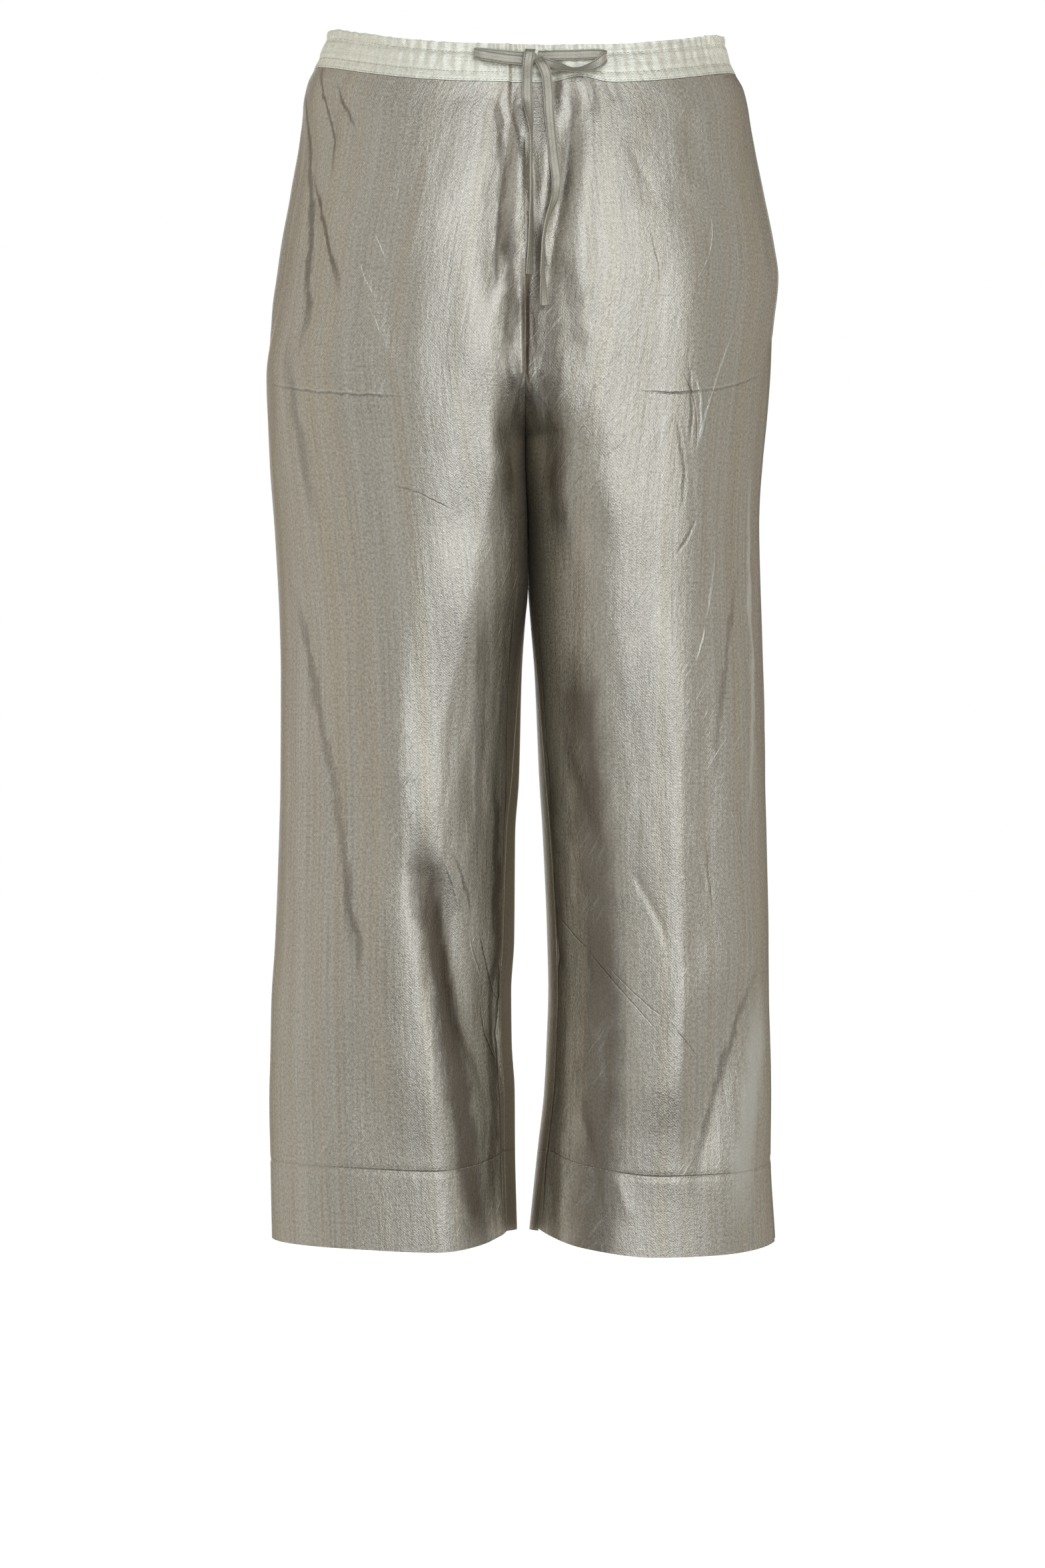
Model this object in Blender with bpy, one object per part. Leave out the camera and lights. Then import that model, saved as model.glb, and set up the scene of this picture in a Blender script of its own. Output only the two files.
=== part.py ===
"""Straight pants with a drawstring waist, hollow, in the form they have when worn.

The front faces -Y, +Z is up, and the origin is the middle of the waist.
Sizes in the tables are millimetres. Left and right are as seen from the front.
"""
from collections import namedtuple
from math import pi

import bmesh
import bpy
import numpy as np

MM = 0.001
LEFT, RIGHT = -1, 1
FRONT, BACK = -1, 1

# Cloth and seams
CLOTH_WALL = 1.2
HEM_WALL = 2.0
BAND_WALL = 2.2
FACING_WALL = 1.0
SEAM_GAP = 0.3

# Heights of the main lines at the side seams
BAND_TOP = 17.0
BAND_FOOT = -13.0
FRONT_CURVE_TOP = -262.0
BACK_CURVE_TOP = -235.0
CROTCH = -325.0
HEM = -950.0
HEM_DEPTH = 64.0

# The waist dips at the centre front, rises at the centre back and leans to one side
FRONT_DIP = 24.0
BACK_RISE = 10.0
WAIST_LEAN = 0.015
WAIST_FADE = (-250.0, -20.0)

# The crotch curve's roundness, and the fullness of the panels' outer quarters
CURVE_POWER = 1.6
CURVE_ROOT = 1.4
TORSO_FULLNESS = 2.3
LEG_FULLNESS = 2.15
CORNER_FULLNESS = 2.05

# The side pocket's mouth
MOUTH_TOP = -48.0
MOUTH_FOOT = -232.0
MOUTH_GAP = 1.6
MOUTH_FADE = 12.0
FLARE_REACH = 22.0
FACING_DEPTH = 32.0

# The drawn-in place behind the knot, and the lift of the band's foot beside it
RECESS_DEPTH = 3.2
RECESS_LEFT = (-13.5, -10.0)
RECESS_RIGHT = (22.0, 30.0)
RECESS_FOOT = -70.0
PUCKER_AT, PUCKER_WIDTH, PUCKER_HEIGHT, PUCKER_LIFT = 43.0, 15.0, 12.0, 5.0

# Where folds run out: the share of a panel's width beside its seams, and the height
# over which they begin to do so at the crotch curve
FOLD_END = 0.3
SIDE_EASE = 0.05
INNER_EASE = 0.06
EASE_HEIGHT = 25.0

TAPE_WIDTH = 8.0
TAPE_WALL = 1.1
STOPS_APART = 5.5
KNOT_AT = (4.6, -120.8, -19.0)
KNOT_SIZE = (5.0, 4.2, 5.6)
KNOT_PINCH = 0.14
KNOT_WAIST = 0.35

CLOTH_COLOUR = (0.43, 0.41, 0.33, 1.0)
BAND_COLOUR = (0.58, 0.57, 0.47, 1.0)
TAPE_COLOUR = (0.47, 0.45, 0.38, 1.0)

# Front view of the outer surface: the distance of each outer side from the middle,
# and where each leg's inner side lies.
Outline = namedtuple("Outline", "height outer_left outer_right inner_left inner_right")
OUTLINE = [
    Outline(17, 156.5, 158.5, -0.15, 0.15),
    Outline(0, 163, 162.5, -0.15, 0.15),
    Outline(-13, 169.5, 169.5, -0.15, 0.15),
    Outline(-24, 174.5, 175.5, -0.15, 0.15),
    Outline(-44, 178.5, 180, -0.15, 0.15),
    Outline(-66, 179, 182.5, -0.15, 0.15),
    Outline(-109, 184.5, 190.3, -0.15, 0.15),
    Outline(-152, 192.3, 198.5, -0.15, 0.15),
    Outline(-178, 196, 201.8, -0.15, 0.15),
    Outline(-216, 202, 198.8, -0.15, 0.15),
    Outline(-259, 208, 196.8, -0.15, 0.15),
    Outline(-325, 206, 192, -0.15, 0.15),
    Outline(-380, 202, 188.8, 0.7, 1.4),
    Outline(-431, 199, 189.5, 1.6, 3.1),
    Outline(-453, 198, 190, 0, 4.3),
    Outline(-496, 196.8, 191, -2.7, 7.5),
    Outline(-582, 197.3, 193.5, -5, 11.3),
    Outline(-625, 198.4, 194.6, -8, 14),
    Outline(-711, 201.6, 196.2, -8.8, 17.7),
    Outline(-754, 204.3, 196.2, -11.2, 18.5),
    Outline(-797, 205.4, 197.3, -10.8, 17.2),
    Outline(-840, 206.5, 198.4, -8.3, 15),
    Outline(-883, 205.6, 198, -8.1, 10.2),
    Outline(-950, 204.3, 201.6, -6.5, 3.2),
]

# Side view: how far the cloth stands in front of the side seams and behind them, the
# share of a leg's width that its rounded inner corners take, how deep they are, and the
# share of a panel's columns that lies outside them.
Depth = namedtuple("Depth", "height front back front_corner back_corner corner_depth split")
DEPTHS = [
    Depth(17, 117, 108, 0.17, 0.2, 0.5, 0.87),
    Depth(-13, 120, 112, 0.17, 0.2, 0.5, 0.87),
    Depth(-44, 125, 120, 0.17, 0.2, 0.5, 0.87),
    Depth(-80, 129, 130, 0.17, 0.2, 0.5, 0.87),
    Depth(-130, 131, 142, 0.17, 0.2, 0.5, 0.86),
    Depth(-180, 131.5, 149, 0.17, 0.2, 0.5, 0.83),
    Depth(-235, 130, 149, 0.17, 0.2, 0.5, 0.78),
    Depth(-280, 127, 143, 0.17, 0.2, 0.5, 0.72),
    Depth(-325, 122, 134, 0.19, 0.22, 0.55, 0.66),
    Depth(-400, 113, 118, 0.31, 0.33, 0.75, 0.56),
    Depth(-500, 103, 105, 0.43, 0.43, 0.95, 0.52),
    Depth(-600, 95, 98, 0.5, 0.5, 1, 0.5),
    Depth(-760, 86, 92, 0.5, 0.5, 1, 0.5),
    Depth(-880, 81, 87, 0.5, 0.5, 1, 0.5),
    Depth(-950, 79, 84, 0.5, 0.5, 1, 0.5),
]

# Seams: how far round to the front the side seams and inseams lie, the lean of the
# narrow gap between the thighs, and how far each pocket's mouth stands out.
Seam = namedtuple("Seam", "height side_left side_right in_left in_right lean flare_left flare_right")
SEAMS = [
    Seam(17, 2, 0, 0, 0, 0, 0, 0),
    Seam(-48, 2, 4, 0, 0, 0, 0.4, 0.2),
    Seam(-70, 2, 8, 0, 0, 0, 2.6, 1.6),
    Seam(-110, 2, 13, 0, 0, 0, 4.2, 2.0),
    Seam(-190, 2, 20, 0, 0, 0, 4.4, 2.4),
    Seam(-222, 2, 22, 0, 0, 0, 2.0, 1.6),
    Seam(-236, 2, 23, 0, 0, 0, 0, 0),
    Seam(-325, 2, 27, 0, 0, 0, 0, 0),
    Seam(-380, 2, 27, 3, 4, -0.03, 0, 0),
    Seam(-420, 2, 27, 9, 12, -0.03, 0, 0),
    Seam(-480, 2, 27, 24, 27, 0, 0, 0),
    Seam(-620, 2, 26, 37, 36, 0, 0, 0),
    Seam(-740, 2, 18, 39, 38, 0, 0, 0),
    Seam(-950, 2, 12, 36, 34, 0, 0, 0),
]

# How far each leg's hem drops below its height at the side seam, by the share of the
# panel's width from the side seam to the inseam.
Drop = namedtuple("Drop", "share front_left front_right back")
HEM_DROPS = [
    Drop(0.0, 0, 2, 0),
    Drop(0.3, 3, 8, -1),
    Drop(0.5, 5, 9, -2),
    Drop(0.75, 1, 3, -4),
    Drop(1.0, -8, -10, -8),
]
HEM_DROP_FADE = (-840.0, -700.0)

# The largest folds: a soft trough, or a ridge where the depth is below zero, from its
# upper to its lower end, with a sideways bow.
Fold = namedtuple("Fold", "face upper_x upper_z lower_x lower_z bow width depth")
FOLDS = [
    Fold(FRONT, -13, -32, -28, -225, 3, 6, 4.2),
    Fold(FRONT, -4, -40, -16, -195, 3, 8, -2.6),
    Fold(FRONT, -3, -46, 5, -120, 3, 5, 2.2),
    Fold(FRONT, 24, -40, 20, -170, 0, 9, -1.8),
    Fold(FRONT, 41, -32, 30, -190, 4, 11, 4.6),
    Fold(FRONT, 57, -36, 50, -215, 2, 13, -2.6),
    Fold(FRONT, -158, -18, -155, -90, 0, 8, 2.4),
    Fold(FRONT, -145, -24, -131, -75, 2, 8, 2.0),
    Fold(FRONT, -167, -90, -176, -240, 2, 8, 2.6),
    Fold(FRONT, -161, -135, -150, -220, 0, 8, 1.8),
    Fold(FRONT, 90, -40, 96, -130, 0, 12, 1.6),
    Fold(FRONT, 128, -34, 140, -110, 0, 11, 1.8),
    Fold(FRONT, -36, -250, -60, -420, 6, 16, 2.6),
    Fold(FRONT, 34, -260, 62, -430, -6, 16, 2.6),
    Fold(FRONT, -194, -400, -134, -720, 14, 18, 3.4),
    Fold(FRONT, -30, -310, -52, -640, -10, 20, 3.2),
    Fold(FRONT, -84, -640, -34, -820, 5, 19, 4.2),
    Fold(FRONT, -118, -610, -96, -880, 0, 22, -3.0),
    Fold(FRONT, 31, -306, 34, -560, 4, 20, 3.2),
    Fold(FRONT, 62, -330, 66, -700, 0, 24, -2.4),
    Fold(FRONT, 186, -720, 132, -900, -6, 19, 4.4),
    Fold(FRONT, 150, -700, 96, -860, -6, 22, -2.6),
    Fold(BACK, -14, -30, -22, -170, 2, 12, 3.0),
    Fold(BACK, 15, -30, 25, -150, 2, 12, 3.0),
    Fold(BACK, -62, -20, -66, -120, 0, 12, 2.4),
    Fold(BACK, 58, -20, 66, -130, 0, 12, 2.4),
    Fold(BACK, -118, -22, -124, -100, 0, 12, 2.2),
    Fold(BACK, 112, -22, 120, -110, 0, 12, 2.2),
    Fold(BACK, -30, -300, -120, -420, -14, 20, 4.6),
    Fold(BACK, 32, -300, 118, -430, 14, 20, 4.6),
    Fold(BACK, -40, -360, -96, -560, -8, 20, 3.6),
    Fold(BACK, 42, -365, 98, -580, 8, 20, 3.6),
    Fold(BACK, -150, -380, -128, -800, 10, 22, 3.6),
    Fold(BACK, 146, -390, 122, -790, -10, 22, 3.6),
    Fold(BACK, -70, -560, -58, -900, 4, 20, 3.2),
    Fold(BACK, 74, -570, 62, -910, -4, 20, 3.2),
]

# Rows of the panels: their height at the side seam and at the centre or inner seam.
Row = namedtuple("Row", "side inner")
PANEL_ROWS = [
    Row(-13.4, -13.4), Row(-26, -26), Row(-42, -42), Row(-62, -62), Row(-86, -86),
    Row(-114, -114), Row(-144, -144), Row(-175, -175), Row(-205, -205), Row(-232, -232),
    Row(-256, -252), Row(-276, -268), Row(-293, -284), Row(-309, -298), Row(-325, -310),
    Row(-340, -318), Row(-355, -323), Row(-369, -325), Row(-384, -334), Row(-402, -356),
    Row(-426, -392), Row(-456, -434), Row(-492, -478), Row(-536, -528), Row(-582, -580),
    Row(-630, -630), Row(-680, -680), Row(-730, -730), Row(-780, -780), Row(-832, -832),
    Row(-880, -880), Row(-886, -886), Row(-918, -918), Row(-950, -950),
]
FRONT_COLUMNS = [0, 0.04, 0.09, 0.145, 0.2, 0.255, 0.31, 0.365, 0.42, 0.475, 0.53, 0.585,
                 0.64, 0.695, 0.745, 0.79, 0.83, 0.87, 0.91, 0.955, 1]
BACK_COLUMNS = [0, 0.05, 0.12, 0.19, 0.26, 0.33, 0.4, 0.47, 0.54, 0.61, 0.68, 0.74,
                0.79, 0.84, 0.89, 0.945, 1]

# Rows of the waistband: how far each stands out, and its share of the gathers.
BandRow = namedtuple("BandRow", "height out gather")
BAND_ROWS = [
    BandRow(-13, 0.4, 0.35),
    BandRow(-5.5, 0.2, 0.45),
    BandRow(2.5, 1.5, 0.8),
    BandRow(10, 0.2, 0.6),
    BandRow(13.2, 0.7, 1.0),
    BandRow(17, 0.9, 1.5),
]

# Spacing of the waistband's columns: close where the cloth is gathered.
Zone = namedtuple("Zone", "start end spacing")
FRONT_ZONES = [
    Zone(-1.0, -0.68, 0.0135),
    Zone(-0.68, -0.08, 0.05),
    Zone(-0.08, 0.13, 0.0175),
    Zone(0.13, 0.34, 0.03),
    Zone(0.34, 0.68, 0.05),
    Zone(0.68, 1.0, 0.0135),
]
BACK_ZONES = [Zone(-1.0, 1.0, 0.0178)]
GATHER_PITCH = {FRONT: 12.5, BACK: 16.5}
GATHER_HEIGHT = 1.0
GATHER_START = 0.55

# The drawstring's stretches, from the knot outwards: points along the middle of the
# tape, and how far it turns edge-on to the front.
Stop = namedtuple("Stop", "x y z turn")
ROUTES = {
    "drawstring_tail_left": [
        Stop(4.2, -121.6, -12.1, 0), Stop(3.6, -125.2, -13.8, 0), Stop(2.6, -126.3, -18.5, 0),
        Stop(1.9, -125.7, -24, 0), Stop(1.5, -122.8, -34, 0), Stop(1.6, -122.0, -50, 0),
        Stop(3.2, -126.4, -64, 45), Stop(4.4, -130.4, -78, 76), Stop(4.7, -132.6, -92, 80),
        Stop(4.5, -134.8, -106, 80), Stop(4.8, -136.0, -122, 78), Stop(4.7, -136.4, -142, 70),
        Stop(4.4, -136.0, -162, 62), Stop(3.8, -135.2, -178, 52), Stop(3.3, -134.8, -189, 44),
    ],
    "drawstring_tail_right": [
        Stop(10.0, -124.4, -19.6, 0), Stop(12.8, -126.8, -23.6, 0), Stop(15.8, -127.6, -30, 0),
        Stop(17.6, -125.4, -42, 0), Stop(18.7, -125.0, -61, 0), Stop(20.4, -127.9, -80, 0),
        Stop(22.2, -131.0, -98, 0), Stop(24.3, -133.2, -115, 8), Stop(23.4, -135.0, -128, 40),
        Stop(17.6, -136.2, -144, 72), Stop(14.6, -136.2, -158, 78), Stop(13.4, -135.9, -176, 74),
        Stop(13.6, -135.2, -194, 62), Stop(15.2, -133.6, -213, 22),
    ],
    "drawstring_loop_left": [
        Stop(-0.9, -120.4, -17.6, 0), Stop(-10, -120.8, -16.8, 0), Stop(-22, -121.4, -15.8, 0),
        Stop(-33, -121.2, -15.0, 0), Stop(-38.0, -121.7, -14.8, 0), Stop(-39.2, -123.0, -15.1, 0),
        Stop(-37.4, -124.2, -15.7, 0), Stop(-28, -124.7, -17.6, 0), Stop(-14, -124.3, -19.6, 0),
        Stop(-6, -123.1, -20.2, 0), Stop(-0.9, -122.0, -20.4, 0),
    ],
    "drawstring_loop_right": [
        Stop(10.1, -119.1, -16.6, 0), Stop(22, -120.6, -16.6, 0), Stop(40, -121.2, -16.3, 0),
        Stop(54, -121.0, -15.7, 0), Stop(60, -121.7, -16.2, 0), Stop(62.4, -123.4, -17.4, 0),
        Stop(60.8, -125.4, -20.2, 0), Stop(54, -126.7, -25.2, 20), Stop(45, -127.2, -28.2, 50),
        Stop(36, -126.4, -28.4, 60), Stop(24, -123.4, -25.2, 28), Stop(16, -121.8, -22.8, 8),
        Stop(10.2, -120.9, -20.8, 0),
    ],
}


def clear_scene():
    for thing in list(bpy.data.objects):
        bpy.data.objects.remove(thing, do_unlink=True)


def eased(value, start, end):
    """0 at start and 1 at end, with level ends."""
    share = np.clip((value - start) / (end - start), 0, 1)
    return share * share * (3 - 2 * share)


def smooth_curve(places, values):
    """A cubic through a table's rows that doesn't overshoot them."""
    order = np.argsort(places)
    places = np.array(places, float)[order]
    values = np.array(values, float)[order]
    step = np.diff(places)
    slope = np.diff(values) / step
    tangent = np.zeros(len(places))
    both = slope[:-1] * slope[1:] > 0
    pair_sum = np.where(both, slope[:-1] + slope[1:], 1)
    tangent[1:-1] = np.where(both, 2 * slope[:-1] * slope[1:] / pair_sum, 0)
    tangent[0], tangent[-1] = slope[0], slope[-1]

    def value_at(place):
        place = np.clip(place, places[0], places[-1])
        row = np.clip(np.searchsorted(places, place) - 1, 0, len(step) - 1)
        share = (place - places[row]) / step[row]
        rest = 1 - share
        start = values[row] * (1 + 2 * share) * rest ** 2 + tangent[row] * step[row] * share * rest ** 2
        end = values[row + 1] * share ** 2 * (3 - 2 * share)
        return start + end - tangent[row + 1] * step[row] * share ** 2 * rest

    return value_at


def column(table, name):
    """One column of a table as a smooth function of the table's first column."""
    return smooth_curve([row[0] for row in table], [getattr(row, name) for row in table])


def side_name(stem, leg):
    return stem + ("_left" if leg == LEFT else "_right")


def quarter(width, depth, fullness, count=60):
    """A quarter of a rounded oval, from (width, 0) to (0, depth)."""
    angle = np.linspace(0, pi / 2, count)
    x = width * np.clip(np.cos(angle), 0, 1) ** (2 / fullness)
    y = depth * np.clip(np.sin(angle), 0, 1) ** (2 / fullness)
    return np.stack([x, y], axis=1)


def curve_cut(height, face, depth):
    """How far the crotch curve lies from the side plane at a height, above the crotch."""
    top = FRONT_CURVE_TOP if face == FRONT else BACK_CURVE_TOP
    share = np.clip((top - height) / (top - CROTCH), 0, 1)
    return depth * (1 - share ** CURVE_POWER) ** (1 / CURVE_ROOT)


def half_ring(leg, face, height):
    """The outer surface in plan, from the outer side round to the inner line and along it.

    Also gives how far along it the rounded inner corner starts.
    """
    outer = OUTLINE_AT[side_name("outer", leg)](height)
    inner = OUTLINE_AT[side_name("inner", leg)](height) * leg
    depth = DEPTH_AT["front" if face == FRONT else "back"](height)
    corner = DEPTH_AT["front_corner" if face == FRONT else "back_corner"](height) * (outer - inner)
    corner_depth = DEPTH_AT["corner_depth"](height) * depth
    fullness = TORSO_FULLNESS + (LEG_FULLNESS - TORSO_FULLNESS) * eased(-height, 200, 450)
    if height > CROTCH:
        corner_depth = min(corner_depth, depth - curve_cut(height, face, depth))
    wide = quarter(outer - inner - corner, depth, fullness) + [inner + corner, 0]
    bend = quarter(corner, corner_depth, CORNER_FULLNESS)[::-1] * [-1, 1]
    bend += [inner + corner, depth - corner_depth]
    level = np.linspace(depth - corner_depth, 0, 12)
    flat = np.stack([np.full(12, inner), level], axis=1)
    ring = np.concatenate([wide, bend, flat])
    near = np.clip(1 - (ring[:, 0] - inner) / corner, 0, 1) ** 2
    ring[:, 0] += leg * SEAM_AT["lean"](height) * ring[:, 1] * face * near
    return ring * [leg, face], along(wide)[-1]


def along(points):
    """Distance from the first point to each, along the line."""
    return np.concatenate([[0], np.cumsum(np.linalg.norm(np.diff(points, axis=0), axis=1))])


def panel_line(leg, face, height, count):
    """One panel's outer surface in plan at a height, from side seam to inner seam."""
    front, front_corner = half_ring(leg, FRONT, height)
    back, back_corner = half_ring(leg, BACK, height)
    loop = np.concatenate([front, back[-2::-1]])
    distance = along(loop)
    total = distance[-1]
    middle = along(front)[-1]
    start = SEAM_AT[side_name("side", leg)](height) + SEAM_GAP / 2 * -face
    end = middle + SEAM_GAP / 2 * face - SEAM_AT[side_name("in", leg)](height)
    if height > CROTCH:
        half = front if face == FRONT else back
        end = middle + face * curve_cut(height, face, abs(half[:, 1]).max())
    corner = front_corner
    if face == FRONT:
        below = eased(-height, -MOUTH_TOP - MOUTH_FADE, -MOUTH_TOP)
        start += MOUTH_GAP * below * eased(height, MOUTH_FOOT, MOUTH_FOOT + MOUTH_FADE)
    else:
        start += total
        corner = total - back_corner
    split = DEPTH_AT["split"](height)
    steps = np.interp(np.linspace(0, 1, count), [0, split, 1], [start, corner, end])
    steps = np.where(steps > total, steps - total, steps)
    return np.stack([np.interp(steps, distance, loop[:, axis]) for axis in (0, 1)], axis=1)


OUTLINE_AT = {name: column(OUTLINE, name) for name in Outline._fields[1:]}
DEPTH_AT = {name: column(DEPTHS, name) for name in Depth._fields[1:]}
SEAM_AT = {name: column(SEAMS, name) for name in Seam._fields[1:]}
DROP_AT = {name: column(HEM_DROPS, name) for name in Drop._fields[1:]}
LINE_HEIGHTS = np.arange(HEM, BAND_TOP + 1, 2.0)
LINE_STEPS = 241
LINES = {
    (leg, face): np.array([panel_line(leg, face, height, LINE_STEPS) for height in LINE_HEIGHTS])
    for leg in (LEFT, RIGHT) for face in (FRONT, BACK)
}
WIDTHS = {panel: np.array([along(line)[-1] for line in lines]) for panel, lines in LINES.items()}


def plan_point(leg, face, share, height):
    """The panel's place in plan, read between its stored lines."""
    lines = LINES[leg, face]
    row = np.clip((height - LINE_HEIGHTS[0]) / (LINE_HEIGHTS[1] - LINE_HEIGHTS[0]), 0, len(lines) - 1.001)
    step = np.clip(share, 0, 1) * (LINE_STEPS - 1)
    step = np.minimum(step, LINE_STEPS - 1.001)
    r, s = int(row), int(step)
    low = lines[r, s] * (s + 1 - step) + lines[r, s + 1] * (step - s)
    high = lines[r + 1, s] * (s + 1 - step) + lines[r + 1, s + 1] * (step - s)
    return low * (r + 1 - row) + high * (row - r)


def panel_width(leg, face, height):
    """Length of the panel's line at a height."""
    return np.interp(height, LINE_HEIGHTS, WIDTHS[leg, face])


def outward(leg, face, share, height):
    """The direction in plan that points away from the wearer."""
    ahead = plan_point(leg, face, min(share + 0.006, 1), height)
    behind = plan_point(leg, face, max(share - 0.006, 0), height)
    run = ahead - behind
    run /= np.linalg.norm(run)
    return np.array([run[1], -run[0]]) * leg * face


def fold_depth(face, x, z):
    """How far the folds draw the cloth in at a place."""
    total = 0.0
    for fold in FOLDS:
        if fold.face != face:
            continue
        share = (z - fold.upper_z) / (fold.lower_z - fold.upper_z)
        if not 0 < share < 1:
            continue
        middle = fold.upper_x + (fold.lower_x - fold.upper_x) * share + fold.bow * 4 * share * (1 - share)
        ends = eased(share, 0, FOLD_END) * eased(1 - share, 0, FOLD_END)
        total += fold.depth * ends * np.exp(-((x - middle) / fold.width) ** 2)
    return total


def waist_shift(face, x, y, height):
    """How far the waist's dip, rise, lean and pucker move a point up."""
    depth = DEPTH_AT["front" if face == FRONT else "back"](height)
    centre = min(abs(y) / depth, 1) ** 2
    shift = -FRONT_DIP * centre if face == FRONT else BACK_RISE * centre
    shift -= WAIST_LEAN * x
    shift *= eased(height, *WAIST_FADE)
    if face == FRONT and y < 0:
        across, up = (x - PUCKER_AT) / PUCKER_WIDTH, (height - BAND_FOOT) / PUCKER_HEIGHT
        shift += PUCKER_LIFT * np.exp(-across ** 2 - up ** 2)
    return shift


def recess(x, height):
    """The band and the cloth below it are drawn in behind the knot."""
    across = eased(x, *RECESS_LEFT) * (1 - eased(x, *RECESS_RIGHT))
    return RECESS_DEPTH * across * eased(height, RECESS_FOOT, BAND_FOOT)


def seam_ease(face, share, height):
    """Folds run out at the side seams, at the inseams and at the crotch curve."""
    top = FRONT_CURVE_TOP if face == FRONT else BACK_CURVE_TOP
    below = 1 - eased(height, top, top + EASE_HEIGHT)
    return eased(share, 0, SIDE_EASE) * (1 - below * (1 - eased(1 - share, 0, INNER_EASE)))


def mouth_flare(leg, share, height):
    """How far the pocket's mouth stands away from the side."""
    reach = share * panel_width(leg, FRONT, height)
    return SEAM_AT[side_name("flare", leg)](height) * (1 - eased(reach, 0, FLARE_REACH))


def cloth_point(leg, face, share, height, out=0.0):
    """A point on the outer surface of the cloth, in millimetres."""
    x, y = plan_point(leg, face, share, height)
    direction = outward(leg, face, share, height)
    stand = out - fold_depth(face, x, height) * seam_ease(face, share, height)
    if face == FRONT:
        stand += mouth_flare(leg, share, height) - recess(x, height)
    drop_name = "back" if face == BACK else side_name("front", leg)
    z = height + waist_shift(face, x, y, height)
    z -= DROP_AT[drop_name](share) * eased(-height, -HEM_DROP_FADE[1], -HEM_DROP_FADE[0])
    return np.array([x + direction[0] * stand, y + direction[1] * stand, z])


def material(name, colour, roughness=0.42, metallic=0.35):
    """A plain finish for one piece."""
    finish = bpy.data.materials.new(name)
    finish.use_nodes = True
    shader = finish.node_tree.nodes["Principled BSDF"]
    shader.inputs["Base Color"].default_value = colour
    shader.inputs["Roughness"].default_value = roughness
    shader.inputs["Metallic"].default_value = metallic
    return finish


def add_object(name, mesh, colour):
    """Put a mesh in the scene, smooth, with a material of its own."""
    mesh.materials.append(material(name, colour))
    mesh.shade_smooth()
    thing = bpy.data.objects.new(name, mesh)
    bpy.context.scene.collection.objects.link(thing)
    return thing


def cloth_solid(name, outer, inner, colour):
    """A wall of cloth between two grids of points, closed round its edge."""
    across = len(outer[0])
    form = bmesh.new()
    bmesh.ops.create_grid(form, x_segments=across - 1, y_segments=len(outer) - 1, size=1.0)
    place = form.verts.layers.int.new("place")
    for index, vertex in enumerate(form.verts):
        vertex[place] = index
        vertex.co = outer[index // across][index % across] * MM
    wall = bmesh.ops.extrude_face_region(form, geom=form.faces[:])
    for vertex in (item for item in wall["geom"] if isinstance(item, bmesh.types.BMVert)):
        vertex.co = inner[vertex[place] // across][vertex[place] % across] * MM
    bmesh.ops.recalc_face_normals(form, faces=form.faces)
    mesh = bpy.data.meshes.new(name)
    form.to_mesh(mesh)
    form.free()
    return add_object(name, mesh, colour)


def mixed_height(row, share):
    """A row's height at a share of the panel's width."""
    return row.side + (row.inner - row.side) * eased(share, 0.35, 1)


def make_panel(name, leg, face):
    """One leg panel, from the waistband to the turned-up hem, which is two layers thick."""
    columns = FRONT_COLUMNS if face == FRONT else BACK_COLUMNS
    outer, inner = [], []
    for row in PANEL_ROWS:
        wall = HEM_WALL if row.side < HEM + HEM_DEPTH else CLOTH_WALL
        places = [(leg, face, share, mixed_height(row, share)) for share in columns]
        outer.append([cloth_point(*place) for place in places])
        inner.append([cloth_point(*place, out=-wall) for place in places])
    return cloth_solid(name, outer, inner, CLOTH_COLOUR)


def band_columns(zones):
    """Places along the band, from -1 at the left side seam to 1 at the right."""
    places = []
    for zone in zones:
        count = round((zone.end - zone.start) / zone.spacing)
        places += list(np.linspace(zone.start, zone.end, count, endpoint=False))
    return places + [zones[-1].end]


def gather(face, place):
    """Height of the gathers at a place along the band."""
    distance = place * HALF_BAND[face]
    phase = distance / GATHER_PITCH[face] + 0.3 * np.sin(distance / 31) + 0.2 * np.sin(distance / 13.7 + 1)
    strength = 0.2 + 0.8 * eased(abs(place), GATHER_START, GATHER_START + 0.2) if face == FRONT else 1.0
    return GATHER_HEIGHT * strength * np.sin(2 * pi * phase)


def make_band(name, face, zones):
    """Half of the waistband, with its puffed casing and frilled heading."""
    seam = SEAM_GAP / 2 / HALF_BAND[face]
    outer, inner = [], []
    for row in BAND_ROWS:
        outer_line, inner_line = [], []
        for place in band_columns(zones):
            leg = LEFT if place < 0 else RIGHT
            share = min(max(1 - abs(place), seam), 1)
            out = row.out + row.gather * gather(face, place)
            outer_line.append(cloth_point(leg, face, share, row.height, out))
            inner_line.append(cloth_point(leg, face, share, row.height, out - BAND_WALL))
        outer.append(outer_line)
        inner.append(inner_line)
    return cloth_solid(name, outer, inner, BAND_COLOUR)


def make_facing(name, leg):
    """The facing behind a side pocket's mouth."""
    outer, inner = [], []
    for row in PANEL_ROWS:
        if not MOUTH_FOOT < row.side < MOUTH_TOP + 8:
            continue
        height = row.side
        width = panel_width(leg, FRONT, height)
        shares = [share for share in FRONT_COLUMNS if share * width < FACING_DEPTH]
        depths = [max(CLOTH_WALL, mouth_flare(leg, share, height)) + SEAM_GAP for share in shares]
        places = list(zip(shares, depths))
        outer.append([cloth_point(leg, FRONT, share, height, -depth) for share, depth in places])
        inner.append([cloth_point(leg, FRONT, share, height, -depth - FACING_WALL)
                      for share, depth in places])
    return cloth_solid(name, outer, inner, CLOTH_COLOUR)


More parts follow.
